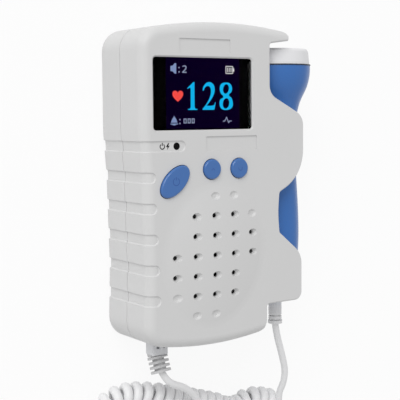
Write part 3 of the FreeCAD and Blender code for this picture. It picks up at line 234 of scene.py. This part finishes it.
class CordSizes(PropertyGroup):
    """Looks and sizes of the cord, its turns and its ends"""
    jacket: colour_property("Jacket", "Soft vinyl of the cord", "#f2f2f3")
    sleeve: colour_property("Boot", "Vinyl of the plug's boot", "#cececf")
    # The strain relief is painted lighter than the boot: painted light that makes up for the case's shadow on
    # it.
    relief: colour_property("Strain relief", "Vinyl of the probe's strain relief", "#ededee")
    plug: colour_property("Plug", "Nylon of the plug", "#e4e5e8")
    diameter: FloatProperty(name="Diameter", description="Outside of the jacket in the two leads",
                            default=3.0 * MM, min=0.001, max=0.01, unit="LENGTH")
    coil_diameter: FloatProperty(name="Coil", description="Outside of the curly part",
                                 default=12.3 * MM, min=0.005, max=0.04, unit="LENGTH")
    coil_strand: FloatProperty(name="Coil strand", description="Widest outside of the jacket in the turns",
                               default=4.1 * MM, min=0.001, max=0.01, unit="LENGTH")
    turns: IntProperty(name="Turns", description="Turns of the curly part", default=24, min=3, max=80)
    turn_points: IntProperty(name="Points", description="Points in each turn", default=16, min=12, max=48)
    inset: FloatProperty(name="Inset", description="Room between the turns and the ends of the coil",
                         default=1.6 * MM, min=0.0, max=0.01, unit="LENGTH")
    pulled: FloatProperty(name="Pulled", default=0.3, min=0.0, max=2.0,
                          description="How much wider the turns stand where they are pulled apart")
    pulled_place: FloatProperty(name="Pulled place", default=0.36, min=0.0, max=1.0, subtype="FACTOR",
                                description="Place of the widest turns, as a share of the coil")
    pulled_reach: FloatProperty(name="Pulled reach", default=0.05, min=0.01, max=1.0, subtype="FACTOR",
                                description="Reach of the wide turns, as a share of the coil")
    lean: FloatProperty(name="Lean", description="How far the turns lean along the coil",
                        default=0.4 * MM, min=-0.01, max=0.01, unit="LENGTH")


class StageSettings(PropertyGroup):
    """Camera, lights and table"""
    camera: FloatVectorProperty(name="Camera", description="Where the camera stands", size=3, unit="LENGTH",
                                subtype="TRANSLATION", default=(-0.24794, 0.02933, 0.38633))
    aim: FloatVectorProperty(name="Aim", description="What the camera points at", size=3, unit="LENGTH",
                             subtype="TRANSLATION", default=(-0.01975, -0.00552, 0.03496))
    up: FloatVectorProperty(name="Up", description="Direction that is upright in the picture", size=3,
                            subtype="DIRECTION", default=(0.0524, 0.9965, -0.0648))
    focal: FloatProperty(name="Focal length", description="Lens on a sensor 36 mm wide", default=94.61,
                         min=10.0, max=500.0, unit="CAMERA")
    key: FloatProperty(name="Key light", description="Power of the large soft light", default=40.0, min=0.0,
                       unit="POWER")
    key_size: FloatProperty(name="Key size", description="Side of the large soft light", default=1.8, min=0.1,
                            unit="LENGTH")
    key_place: FloatVectorProperty(name="Key place", description="Where the large soft light stands", size=3,
                                   unit="LENGTH", subtype="TRANSLATION", default=(-1.41, 1.95, 1.77))
    fill: FloatProperty(name="Sky", description="Strength of the even light from all sides", default=0.6,
                        min=0.0)
    floor: colour_property("Floor", "Colour of the table", "#f4f4f4")
    floor_size: FloatProperty(name="Floor size", description="Side of the table", default=6.0, min=0.5,
                              unit="LENGTH")
    floor_white: FloatProperty(name="White", description="Share of pure white in the seen table", default=0.9,
                               min=0.0, max=1.0, subtype="FACTOR")


# ---- materials -------------------------------------------------------------------------------
# Spacing of the broad clouds in a colour, of the haze on the window, and of the display's elements.
CLOUD_MM = 14
HAZE_MM = 6
PIXEL_MM = 0.22
# How far a grain moves the roughness up and down.
GRAIN_SPREAD = 0.06
COAT_ROUGHNESS = 0.12
# Drawn lines in metal: their scale along Y as a share of that across, and how far they move the roughness.
DRAWN_SCALE = 0.05
DRAWN_SMOOTHER, DRAWN_ROUGHER = 0.08, 0.1
# Light of the display's darker elements, as a share of the others'.
DARK_SHARE = 0.92
# Far below bare acrylic's 1.49, as the coat takes most of the reflection away.
COATED_IOR = 1.15


def add(tree, kind, settings=(), **links):
    """Adds a node with its settings, and links or sets its inputs, which go by name or as _ and a number."""
    node = tree.nodes.new(kind)
    for key, value in dict(settings).items():
        setattr(node, key, value)
    for key, value in links.items():
        socket = node.inputs[int(key[1:])] if key[1:].isdigit() else node.inputs[key.replace("_", " ")]
        if isinstance(value, bpy.types.NodeSocket):
            tree.links.new(value, socket)
        else:
            socket.default_value = value
    return node


def new_material(name):
    """Empty material with its output and a Principled shader."""
    material = bpy.data.materials.new(name)
    material.use_nodes = True
    tree = material.node_tree
    tree.nodes.clear()
    shader = add(tree, "ShaderNodeBsdfPrincipled")
    add(tree, "ShaderNodeOutputMaterial", Surface=shader.outputs[0])
    return material, tree, shader


def grained(name, colour, roughness, grain_mm, depth_mm, mottle=0.03, coat=0.0, shine=0.5):
    """Surface other than metal: its grain breaks up the shine, and broad clouds vary the colour a little."""
    # A moulding's real grain is a few hundredths of a millimetre, so each is drawn coarser, to show at all.
    material, tree, shader = new_material(name)
    place = add(tree, "ShaderNodeTexCoord").outputs["Object"]
    grain = add(tree, "ShaderNodeTexNoise", Vector=place, Scale=1 / (grain_mm * MM), Detail=2.0,
                Roughness=0.6)
    cloud = add(tree, "ShaderNodeTexNoise", Vector=place, Scale=1 / (CLOUD_MM * MM), Detail=2.0)
    light = tuple(min(1.0, c * (1 + mottle)) for c in colour)
    dark = tuple(c * (1 - mottle) for c in colour)
    shade = add(tree, "ShaderNodeMix", {"data_type": "RGBA"}, _0=cloud.outputs[0], _6=(*dark, 1),
                _7=(*light, 1))
    tree.links.new(shade.outputs[2], shader.inputs["Base Color"])
    rough = add(tree, "ShaderNodeMapRange", Value=grain.outputs[0], To_Min=roughness - GRAIN_SPREAD,
                To_Max=roughness + GRAIN_SPREAD)
    tree.links.new(rough.outputs[0], shader.inputs["Roughness"])
    bump = add(tree, "ShaderNodeBump", Height=grain.outputs[0], Distance=depth_mm * MM, Strength=0.5)
    tree.links.new(bump.outputs[0], shader.inputs["Normal"])
    shader.inputs["Specular IOR Level"].default_value = shine
    shader.inputs["Coat Weight"].default_value = coat
    shader.inputs["Coat Roughness"].default_value = COAT_ROUGHNESS
    return material


def paint_hole_shade(material, colour, centre, reach, tilt):
    """Painted shade inside an oval: the speaker's holes end blind in the CAD, and this paints their closed
    ends dark, as the shade in open holes, so that they look open.
    """
    tree = material.node_tree
    shader = next(node for node in tree.nodes if node.type == "BSDF_PRINCIPLED")
    place = add(tree, "ShaderNodeTexCoord").outputs["Object"]
    oval_place = add(tree, "ShaderNodeMapping", {"vector_type": "TEXTURE"}, Vector=place, Location=centre,
                     Rotation=(0.0, 0.0, tilt), Scale=reach)
    depth = add(tree, "ShaderNodeTexGradient", {"gradient_type": "SPHERICAL"}, Vector=oval_place.outputs[0])
    edge = add(tree, "ShaderNodeMapRange", Value=depth.outputs[0], From_Max=0.01)
    bare = shader.inputs["Base Color"].links[0].from_socket
    mix = add(tree, "ShaderNodeMix", {"data_type": "RGBA"}, _0=edge.outputs[0], _6=bare, _7=(*colour, 1))
    tree.links.new(mix.outputs[2], shader.inputs["Base Color"])


def metal(name, colour, roughness, brushed_mm):
    """Bare metal: drawn lines along Y, coarser than real ones so that they show, streak its highlights."""
    material, tree, shader = new_material(name)
    place = add(tree, "ShaderNodeTexCoord").outputs["Object"]
    stretch = add(tree, "ShaderNodeMapping", Vector=place, Scale=(1.0, DRAWN_SCALE, 1.0))
    lines = add(tree, "ShaderNodeTexNoise", Vector=stretch.outputs[0], Scale=1 / (brushed_mm * MM),
                Detail=2.0)
    rough = add(tree, "ShaderNodeMapRange", Value=lines.outputs[0], To_Min=roughness - DRAWN_SMOOTHER,
                To_Max=roughness + DRAWN_ROUGHER)
    tree.links.new(rough.outputs[0], shader.inputs["Roughness"])
    shader.inputs["Base Color"].default_value = (*colour, 1)
    shader.inputs["Metallic"].default_value = 1.0
    return material


def clear_acrylic():
    """Moulded acrylic with a coat against glare: it hardly reflects from above, so the screen stays black."""
    material, tree, shader = new_material("coated_clear_acrylic")
    place = add(tree, "ShaderNodeTexCoord").outputs["Object"]
    # Patches of faint haze, as left by fingers, soften the reflections at the window's edges.
    haze = add(tree, "ShaderNodeTexNoise", Vector=place, Scale=1 / (HAZE_MM * MM), Detail=3.0)
    rough = add(tree, "ShaderNodeMapRange", Value=haze.outputs[0], To_Min=0.02, To_Max=0.06)
    tree.links.new(rough.outputs[0], shader.inputs["Roughness"])
    shader.inputs["Base Color"].default_value = (0.98, 0.98, 0.98, 1)
    shader.inputs["Transmission Weight"].default_value = 1.0
    shader.inputs["IOR"].default_value = COATED_IOR
    shader.inputs["Specular Tint"].default_value = (0.0, 0.0, 0.0, 1)
    return material


def lit_pixels(name, colour):
    """Lit elements of a colour display: every other one is slightly darker, a fine check in the light."""
    # The spacing is the real one, 160 elements across the lit area.
    material, tree, shader = new_material(name)
    place = add(tree, "ShaderNodeTexCoord").outputs["Object"]
    mesh = add(tree, "ShaderNodeTexChecker", Vector=place, Scale=1 / (PIXEL_MM * MM), Color1=(*colour, 1),
               Color2=(*(DARK_SHARE * c for c in colour), 1))
    tree.links.new(mesh.outputs[0], shader.inputs["Emission Color"])
    shader.inputs["Emission Strength"].default_value = 1.0
    shader.inputs["Base Color"].default_value = (0, 0, 0, 1)
    shader.inputs["Specular IOR Level"].default_value = 0.0
    shader.inputs["Roughness"].default_value = 0.5
    return material


def finish(obj, material):
    """Gives a piece this material alone."""
    obj.data.materials.clear()
    obj.data.materials.append(material)


def dress(node_names, material):
    """Gives one material to several nodes."""
    for name in node_names:
        finish(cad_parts[name], material)


# ---- helpers for new pieces ------------------------------------------------------------------
def deselect():
    """Leaves no object selected."""
    for obj in bpy.context.selected_objects:
        obj.select_set(False)


def make_active(obj):
    """Selects one object alone, for the operators that follow."""
    deselect()
    obj.select_set(True)
    bpy.context.view_layer.objects.active = obj


def nurbs_curve(name, points):
    """Smooth open curve that has these control points."""
    curve = bpy.data.curves.new(name, "CURVE")
    curve.dimensions = "3D"
    spline = curve.splines.new("NURBS")
    spline.points.add(len(points) - 1)
    for point, place in zip(spline.points, points):
        point.co = (*place, 1.0)
    spline.order_u = 3
    spline.use_endpoint_u = True
    return curve


def oval(x, y, half_width, half_height, tilt):
    """Closed ring of smooth points, turned clockwise by a tilt in degrees."""
    turn = math.radians(-tilt)
    ring = []
    for k in range(8):
        angle = math.pi * k / 4
        across, up = half_width * math.cos(angle), half_height * math.sin(angle)
        ring.append((x + across * math.cos(turn) - up * math.sin(turn),
                     y + across * math.sin(turn) + up * math.cos(turn)))
    return ring


def block(x0, y0, x1, y1):
    """Rectangle with sharp corners."""
    return [(x0, y0, "c"), (x1, y0, "c"), (x1, y1, "c"), (x0, y1, "c")]


def open_ring(outer, inner, start, end):
    """Ring round the origin from one angle to another, in degrees, with sharp corners at its ends."""
    angles = [math.radians(start + (end - start) * k / RING_STEPS) for k in range(RING_STEPS + 1)]
    ring = [(outer * math.cos(angle), outer * math.sin(angle)) for angle in angles]
    ring += [(inner * math.cos(angle), inner * math.sin(angle)) for angle in reversed(angles)]
    corners = (0, RING_STEPS, RING_STEPS + 1, 2 * RING_STEPS + 1)
    return [(*point, "c") if k in corners else point for k, point in enumerate(ring)]


def placed(ring, x, y, height):
    """A ring brought from unit height to its place and size, in millimetres."""
    return [(x + point[0] * height, y + point[1] * height, *point[2:]) for point in ring]


def flat_sign(name, rings, corner, layer):
    """Thin flat piece filled between rings of points.  Rings and layer are in millimetres."""
    curve = bpy.data.curves.new(name, "CURVE")
    curve.dimensions = "2D"
    curve.fill_mode = "BOTH"
    curve.extrude = SIGN_HALF_THICKNESS * MM
    curve.resolution_u = 8
    for ring in rings:
        spline = curve.splines.new("BEZIER")
        spline.bezier_points.add(len(ring) - 1)
        spline.use_cyclic_u = True
        for point, item in zip(spline.bezier_points, ring):
            point.co = (corner[0] + item[0] * MM, corner[1] + item[1] * MM, 0)
            point.handle_left_type = point.handle_right_type = "VECTOR" if len(item) > 2 else "AUTO"
    holder = bpy.data.objects.new(name, curve)
    bpy.context.scene.collection.objects.link(holder)
    holder.location.z = corner[2] + layer * MM
    make_active(holder)
    bpy.ops.object.convert(target="MESH")
    bpy.ops.object.transform_apply(location=True, rotation=True, scale=True)
    return bpy.context.active_object


def curve_line(holder):
    """Points along a curve that has no bevel yet."""
    bpy.context.view_layer.update()
    evaluated = holder.evaluated_get(bpy.context.evaluated_depsgraph_get())
    mesh = bpy.data.meshes.new_from_object(evaluated)
    line = [vertex.co.copy() for vertex in mesh.vertices]
    bpy.data.meshes.remove(mesh)
    return line


def read_route(points):
    """Points along the smooth line that a route's control points give."""
    curve = nurbs_curve("route", points)
    curve.resolution_u = 24
    holder = bpy.data.objects.new("route", curve)
    bpy.context.scene.collection.objects.link(holder)
    line = curve_line(holder)
    bpy.data.objects.remove(holder)
    bpy.data.curves.remove(curve)
    return line


# ---- operators -------------------------------------------------------------------------------
class DOPPLER_OT_case(Operator):
    """Finishes the case halves, the battery door, the light and the screws"""
    bl_idname = "doppler.case"
    bl_label = "Case"

    def execute(self, context):
        look = context.scene.doppler_case
        # A fine even grain makes the pale case look dull and soft, with no sharp highlight on it.
        shell = grained("spark_eroded_white_abs", tuple(look.shell), 0.5, look.grain_mm, 0.012, 0.012)
        # Painted shade on the blind ends of the speaker's holes, so that they look open.
        paint_hole_shade(shell, tuple(look.hole_shade), tuple(look.hole_shade_centre), tuple(look.hole_shade_reach),
                   look.hole_shade_tilt)
        dress(("front_shell", "rear_shell", "battery_door"), shell)
        # Nearly black with little shine, so the unlit light reads as a dark spot.
        lens = grained("smoked_polycarbonate_lens", tuple(look.lens), 0.4, 0.5, 0.004, shine=0.1)
        dress(("status_light",), lens)
        # Bright and slightly uneven, as small plated screw heads are.
        dress(("case_screws",), metal("zinc_plated_steel", linear("#b9b7b0"), 0.35, 0.2))
        power_x, flash_x = PRINTED_PLACES
        power = [open_ring(*PRINTED_RING), block(*PRINTED_BAR)]
        signs = [placed(ring, power_x, 0.0, 1.0) for ring in power] + [placed(FLASH, flash_x, 0.0, 1.0)]
        sign = flat_sign("power_print", signs, look.ink_place, PRINT_LAYER)
        # Thin dry ink: dark with hardly any shine.
        finish(sign, grained("pad_printed_black_ink", tuple(look.ink), 0.5, 0.5, 0.002, 0.02, shine=0.2))
        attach(sign, "unit")
        return {"FINISHED"}


class DOPPLER_OT_inside(Operator):
    """Finishes the pieces inside the case and the probe's head"""
    bl_idname = "doppler.inside"
    bl_label = "Inside"

    def execute(self, context):
        # Blotchy green lacquer with a soft shine.
        dress(("main_board",), grained("green_solder_mask", linear("#1e5c33"), 0.35, 1.0, 0.01, 0.15))
        # Dull black with a sandy grain.
        dress(("board_chips", "key_switches"), grained("black_epoxy", linear("#1b1b1d"), 0.5, 0.3, 0.01))
        # Deeper black than the chips, with little shine.
        frame_steel = grained("black_dipped_steel", linear("#0c0c0d"), 0.6, 0.3, 0.01, shine=0.2)
        dress(("speaker_frame",), frame_steel)
        # Fibrous and quite dull.
        paper = grained("pressed_black_paper", linear("#080808"), 0.9, 0.8, 0.05, 0.2, shine=0.05)
        dress(("speaker_cone",), paper)
        # Smooth grey foil under a clear sleeve that gives it a second, sharper shine.
        dress(("battery_cells",), grained("bare_foil_sleeve", linear("#54575c"), 0.3, 2.0, 0.01, 0.05, 0.4))
        # Warm bright metal with fine wire marks.
        dress(("battery_contacts",), metal("nickel_plated_spring_steel", linear("#c9c6bd"), 0.25, 0.15))
        # Dull black, a little waxy.
        dress(("cord_socket",), grained("black_nylon", linear("#161617"), 0.6, 0.4, 0.01))
        # Pale silver with broad soft highlights.
        dress(("transducer_discs",), metal("silvered_ceramic", linear("#c7c3b6"), 0.4, 0.5))
        # Coarse dark grey.
        dress(("transducer_backing",), grained("filled_epoxy", linear("#2a2a2c"), 0.6, 0.6, 0.02))
        return {"FINISHED"}


class DOPPLER_OT_buttons(Operator):
    """Finishes the three buttons and puts a faint mark on each"""
    bl_idname = "doppler.buttons"
    bl_label = "Buttons"

    def execute(self, context):
        look = context.scene.doppler_probe
        # A polished coat over satin blue gives the tops and their rounded edges a soft-edged highlight.
        blue = grained("satin_blue_abs_keys", tuple(look.keys), 0.3, 0.3, 0.006, 0.02, 0.45)
        # Darker and duller than the tops: painted shade that makes the flat marks look sunk.
        mark_shade = grained("blue_abs_marks_painted_shade", tuple(look.marks), 0.4, 0.3, 0.006, 0.02, 0.2)
        marks = {"power_button": [open_ring(*POWER_RING), block(*POWER_BAR)],
                 "round_button_left": [CARET],
                 "round_button_right": [open_ring(*RIGHT_RING)]}
        dress(marks, blue)
        for name, rings in marks.items():
            mark = flat_sign(name + "_mark", rings, self.top(name), 0.0)
            finish(mark, mark_shade)
            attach(mark, name)
        return {"FINISHED"}

    def top(self, name):
        """Middle of the flat top of a button."""
        points = [vertex.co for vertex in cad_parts[name].data.vertices]
        height = max(point.z for point in points)
        flat = [point for point in points if point.z > height - FLAT_WITHIN * MM]
        across, along = [point.x for point in flat], [point.y for point in flat]
        return (min(across) + max(across)) / 2, (min(along) + max(along)) / 2, height


class DOPPLER_OT_screen(Operator):
    """Finishes the window and the display, and lights the display's figures and signs"""
    bl_idname = "doppler.screen"
    bl_label = "Screen"

    def execute(self, context):
        look = context.scene.doppler_screen
        dress(("screen_window",), clear_acrylic())
        # Black with next to no shine, so the panel's margins vanish round the lit area.
        panel = grained("unlit_display_panel", linear("#020203"), 0.5, 0.5, 0.002, 0.0, shine=0.02)
        dress(("display_module",), panel)
        ground = [block(0.0, 0.0, look.width / MM, look.height / MM)]
        heart = [placed(HEART, *HEART_PLACE)]
        signs = [placed(HORN, *HORN_PLACE), placed(BELL, *BELL_PLACE), placed(CLAPPER, *BELL_PLACE)]
        figures = self.figures(look.figure_height / MM)
        pieces = (("display_ground", ground, look.ground, 0.0),
                  ("display_figures", figures, look.lit, SIGN_LAYER),
                  ("display_signs", signs, look.signs, SIGN_LAYER),
                  ("display_marks", self.marks(), look.marks, SIGN_LAYER),
                  ("display_battery_sign", self.battery(), look.battery, SIGN_LAYER),
                  ("display_heart_sign", heart, look.heart, SIGN_LAYER))
        for name, rings, colour, layer in pieces:
            sign = flat_sign(name, rings, look.corner, layer)
            finish(sign, lit_pixels(name + "_pixels", tuple(colour)))
            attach(sign, "unit")
        return {"FINISHED"}

    def figures(self, height):
        """The three large figures, with the two eyes of the eight."""
        outlines = ((ONE, ONE_PLACE), (TWO, TWO_PLACE), (EIGHT, EIGHT_PLACE),
                    (oval(*EIGHT_UPPER), EIGHT_PLACE), (oval(*EIGHT_LOWER), EIGHT_PLACE))
        return [placed(ring, *corner, height) for ring, corner in outlines]

    def marks(self):
        """Dots, the small figure, the pulse trace and the level boxes."""
        rings = [block(x, y, x + DOT, y + DOT) for x, y in DOT_PLACES]
        rings += [placed(THIN_TWO, *THIN_TWO_PLACE), placed(TRACE, *TRACE_PLACE)]
        for x in BOX_LEFTS:
            rings.append(block(x, BOX_LOW, x + BOX_WIDTH, BOX_LOW + BOX_HEIGHT))
            rings.append(block(x + BOX_WALL, BOX_LOW + BOX_WALL, x + BOX_WIDTH - BOX_WALL,
                               BOX_LOW + BOX_HEIGHT - BOX_WALL))
        return rings

    def battery(self):
        """The battery sign: its outline, its hollow and the bars in it."""
        bars = [block(x, BAR_LOW, x + BAR_WIDTH, BAR_TOP) for x in BAR_LEFTS]
        return [placed(CELL, *CELL_PLACE), block(*CELL_HOLLOW), *bars]


class DOPPLER_OT_probe(Operator):
    """Finishes the probe's body, its seam ring and its cap"""
    bl_idname = "doppler.probe"
    bl_label = "Probe"

    def execute(self, context):
        look = context.scene.doppler_probe
        # Satin blue with a thin coat: long soft highlights along the handle.
        dress(("probe_housing",), grained("satin_blue_abs", tuple(look.blue), 0.36, 0.3, 0.006, 0.02, 0.15))
        # Dull and dark, so the seam reads as a thin line.
        dress(("probe_seam_ring",), grained("dark_sealing_ring", tuple(look.seam), 0.5, 0.4, 0.01))
        # Smoother than the case, so the cap shines a little more.
        dress(("probe_head_cap",), grained("satin_white_abs", tuple(look.cap), 0.4, 0.3, 0.006, 0.012, 0.1))
        return {"FINISHED"}


class DOPPLER_OT_cord(Operator):
    """Lays the cord from the plug through its turns to the probe"""
    bl_idname = "doppler.cord"
    bl_label = "Cord"

    def execute(self, context):
        sizes = context.scene.doppler_cord
        # Smooth white vinyl: each turn carries a soft bright band along its top.
        vinyl = grained("soft_vinyl_jacket", tuple(sizes.jacket), 0.42, 0.5, 0.01, 0.02)
        # The moulded ends are a shade greyer and duller than the jacket.
        dress(("plug_boot",), grained("moulded_vinyl_boot", tuple(sizes.sleeve), 0.45, 0.5, 0.01, 0.02))
        # The relief's pale colour is painted light, lighter than the boot to make up for the case's shadow on
        # it.
        relief = grained("moulded_vinyl_relief_painted_light", tuple(sizes.relief), 0.45, 0.5, 0.01, 0.02)
        dress(("probe_strain_relief",), relief)
        # Cool and slightly shinier than the vinyl beside it.
        dress(("plug_body",), grained("pale_nylon_plug", tuple(sizes.plug), 0.4, 0.4, 0.01, 0.02))
        # Yellow glints at the plug's tip.
        dress(("plug_contacts",), metal("gilt_contact_blades", linear("#d8ad57"), 0.25, 0.2))
        cord, line = self.lay(sizes)
        finish(cord, vinyl)
        bpy.ops.object.shade_smooth()
        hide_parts("plug_lead", "cord_coil", "probe_lead")
        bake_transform(cord)
        return {"FINISHED"}

    def turns(self, sizes):
        """Points of the helix round the coil's middle line, from its left to its right end."""
        line = read_route(COIL_LINE)
        places = [0.0]
        for a, b in zip(line, line[1:]):
            places.append(places[-1] + (b - a).length)
        count = round((sizes.turns + LAST_SHARE) * sizes.turn_points)
        gaps = [1 + sizes.pulled * math.exp(-((i / count - sizes.pulled_place) / sizes.pulled_reach) ** 2)
                for i in range(count)]
        scale = (places[-1] - FREE_ENDS * sizes.inset) / sum(gaps)
        radius = (sizes.coil_diameter - sizes.coil_strand) / 2 / math.cos(math.pi / sizes.turn_points)
        points, place, k = [], sizes.inset, 0
        for i in range(count + 1):
            while k < len(places) - 2 and places[k + 1] < place:
                k += 1
            share = (place - places[k]) / (places[k + 1] - places[k])
            along = (line[k + 1] - line[k]).normalized()
            side = along.cross(Vector((0, 0, 1)))
            angle = FIRST_ANGLE + 2 * math.pi * i / sizes.turn_points
            ends = math.sin(math.pi * min(1.0, LEAN_RISE * min(i, count - i) / count) / 2)
            centre = line[k].lerp(line[k + 1], share) - along * sizes.lean * ends * math.cos(angle)
            points.append(centre + radius * (math.cos(angle) * side + math.sin(angle) * Vector((0, 0, 1))))
            place += gaps[min(i, count - 1)] * scale
        return points

    def lay(self, sizes):
        """The cord as one tube, and the line that it follows."""
        turns = self.turns(sizes)
        route = [*PLUG_LEAD, *turns, *TURN_END, *reversed(PROBE_LEAD)]
        curve = nurbs_curve("cord", route)
        # Each turn is as thick as the room to its neighbours lets it be, and the ends thin out to the leads.
        for i, place in enumerate(turns):
            beside = [turns[k] for k in (i - sizes.turn_points, i + sizes.turn_points) if 0 <= k < len(turns)]
            room = min((place - other).length for other in beside)
            inner = min(1.0, 2 * min(i, len(turns) - 1 - i) / sizes.turn_points)
            thick = min(sizes.coil_strand, max(sizes.diameter, room)) / sizes.diameter
            curve.splines[0].points[len(PLUG_LEAD) + i].radius = 1 + (thick - 1) * inner
        curve.resolution_u = 6
        holder = bpy.data.objects.new("cord", curve)
        bpy.context.scene.collection.objects.link(holder)
        line = curve_line(holder)
        curve.bevel_depth = sizes.diameter / 2
        curve.bevel_resolution = 3
        curve.use_fill_caps = True
        make_active(holder)
        bpy.ops.object.convert(target="MESH")
        return bpy.context.active_object, line


class DOPPLER_OT_stage(Operator):
    """Sets up the table, the lights and the camera"""
    bl_idname = "doppler.stage"
    bl_label = "Stage"

    def execute(self, context):
        stage = context.scene.doppler_stage
        self.table(stage)
        self.lights(stage)
        self.camera(stage)
        context.scene.view_settings.view_transform = "Standard"
        return {"FINISHED"}

    def table(self, stage):
        """White table under everything."""
        deselect()
        bpy.ops.mesh.primitive_plane_add(size=stage.floor_size, location=(0, 0, -FLOOR_GAP))
        floor = bpy.context.active_object
        floor.name = "table"
        # Mostly pure white where it is seen, so only a faint soft shadow shows on the dull laminate.
        material, tree, shader = new_material("white_laminate_table")
        shader.inputs["Base Color"].default_value = (*stage.floor, 1)
        shader.inputs["Roughness"].default_value = 0.9
        path = add(tree, "ShaderNodeLightPath")
        seen = add(tree, "ShaderNodeMath", {"operation": "MAXIMUM"}, _0=path.outputs["Is Camera Ray"],
                   _1=path.outputs["Is Transmission Ray"])
        seen = add(tree, "ShaderNodeMath", {"operation": "MAXIMUM"}, _0=seen.outputs[0],
                   _1=path.outputs["Is Glossy Ray"])
        share = add(tree, "ShaderNodeMath", {"operation": "MULTIPLY"}, _0=seen.outputs[0],
                    _1=stage.floor_white)
        glow = add(tree, "ShaderNodeEmission", Color=(1, 1, 1, 1), Strength=1.0)
        mix = add(tree, "ShaderNodeMixShader", _0=share.outputs[0], _1=shader.outputs[0], _2=glow.outputs[0])
        tree.links.new(mix.outputs[0], tree.nodes["Material Output"].inputs["Surface"])
        finish(floor, material)

    def lights(self, stage):
        """Even light from all sides, seen as white, and one large soft lamp."""
        world = bpy.data.worlds.new("studio")
        world.use_nodes = True
        sky = world.node_tree.nodes["Background"]
        sky.inputs["Color"].default_value = (1, 1, 1, 1)
        path = add(world.node_tree, "ShaderNodeLightPath")
        strength = add(world.node_tree, "ShaderNodeMapRange", Value=path.outputs["Is Camera Ray"],
                       To_Min=stage.fill)
        world.node_tree.links.new(strength.outputs[0], sky.inputs["Strength"])
        bpy.context.scene.world = world
        lamp = bpy.data.lights.new("key", "AREA")
        lamp.shape = "SQUARE"
        lamp.size = stage.key_size
        lamp.energy = stage.key
        holder = bpy.data.objects.new("key", lamp)
        holder.location = stage.key_place
        holder.rotation_euler = (Vector((0, 0, 0)) - holder.location).to_track_quat("-Z", "Y").to_euler()
        bpy.context.scene.collection.objects.link(holder)

    def camera(self, stage):
        """Camera at its place, aimed and turned upright."""
        place = Vector(stage.camera)
        back = (place - Vector(stage.aim)).normalized()
        right = Vector(stage.up).cross(back).normalized()
        upright = back.cross(right)
        data = bpy.data.cameras.new("camera")
        data.sensor_width = SENSOR_MM
        data.lens = stage.focal
        data.clip_start = 0.01
        camera = bpy.data.objects.new("camera", data)
        turn = Matrix((right, upright, back)).transposed().to_4x4()
        camera.matrix_world = Matrix.Translation(place) @ turn
        bpy.context.scene.collection.objects.link(camera)
        bpy.context.scene.camera = camera


class DOPPLER_PT_panel(Panel):
    """Steps of the model, in order"""
    bl_idname = "DOPPLER_PT_panel"
    bl_label = "Doppler monitor"
    bl_space_type = "VIEW_3D"
    bl_region_type = "UI"
    bl_category = "Doppler"

    def draw(self, context):
        for step in STEPS:
            self.layout.operator(step.bl_idname)


GROUPS = (("doppler_case", CaseFinish), ("doppler_probe", ProbeFinish), ("doppler_screen", ScreenGraphics),
          ("doppler_cord", CordSizes), ("doppler_stage", StageSettings))
STEPS = (DOPPLER_OT_case, DOPPLER_OT_inside, DOPPLER_OT_buttons, DOPPLER_OT_screen, DOPPLER_OT_probe,
         DOPPLER_OT_cord, DOPPLER_OT_stage)


def register():
    """Adds the settings, the steps and the panel."""
    for name, group in GROUPS:
        bpy.utils.register_class(group)
        setattr(bpy.types.Scene, name, PointerProperty(type=group))
    for step in STEPS:
        bpy.utils.register_class(step)
    bpy.utils.register_class(DOPPLER_PT_panel)


def unregister():
    """Takes the panel, the steps and the settings away, in reverse order."""
    bpy.utils.unregister_class(DOPPLER_PT_panel)
    for step in reversed(STEPS):
        bpy.utils.unregister_class(step)
    for name, group in reversed(GROUPS):
        delattr(bpy.types.Scene, name)
        bpy.utils.unregister_class(group)


def main():
    """Runs every step in order."""
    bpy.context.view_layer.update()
    register()
    for step in STEPS:
        group, name = step.bl_idname.split(".")
        getattr(getattr(bpy.ops, group), name)()


if __name__ == "__main__":
    main()
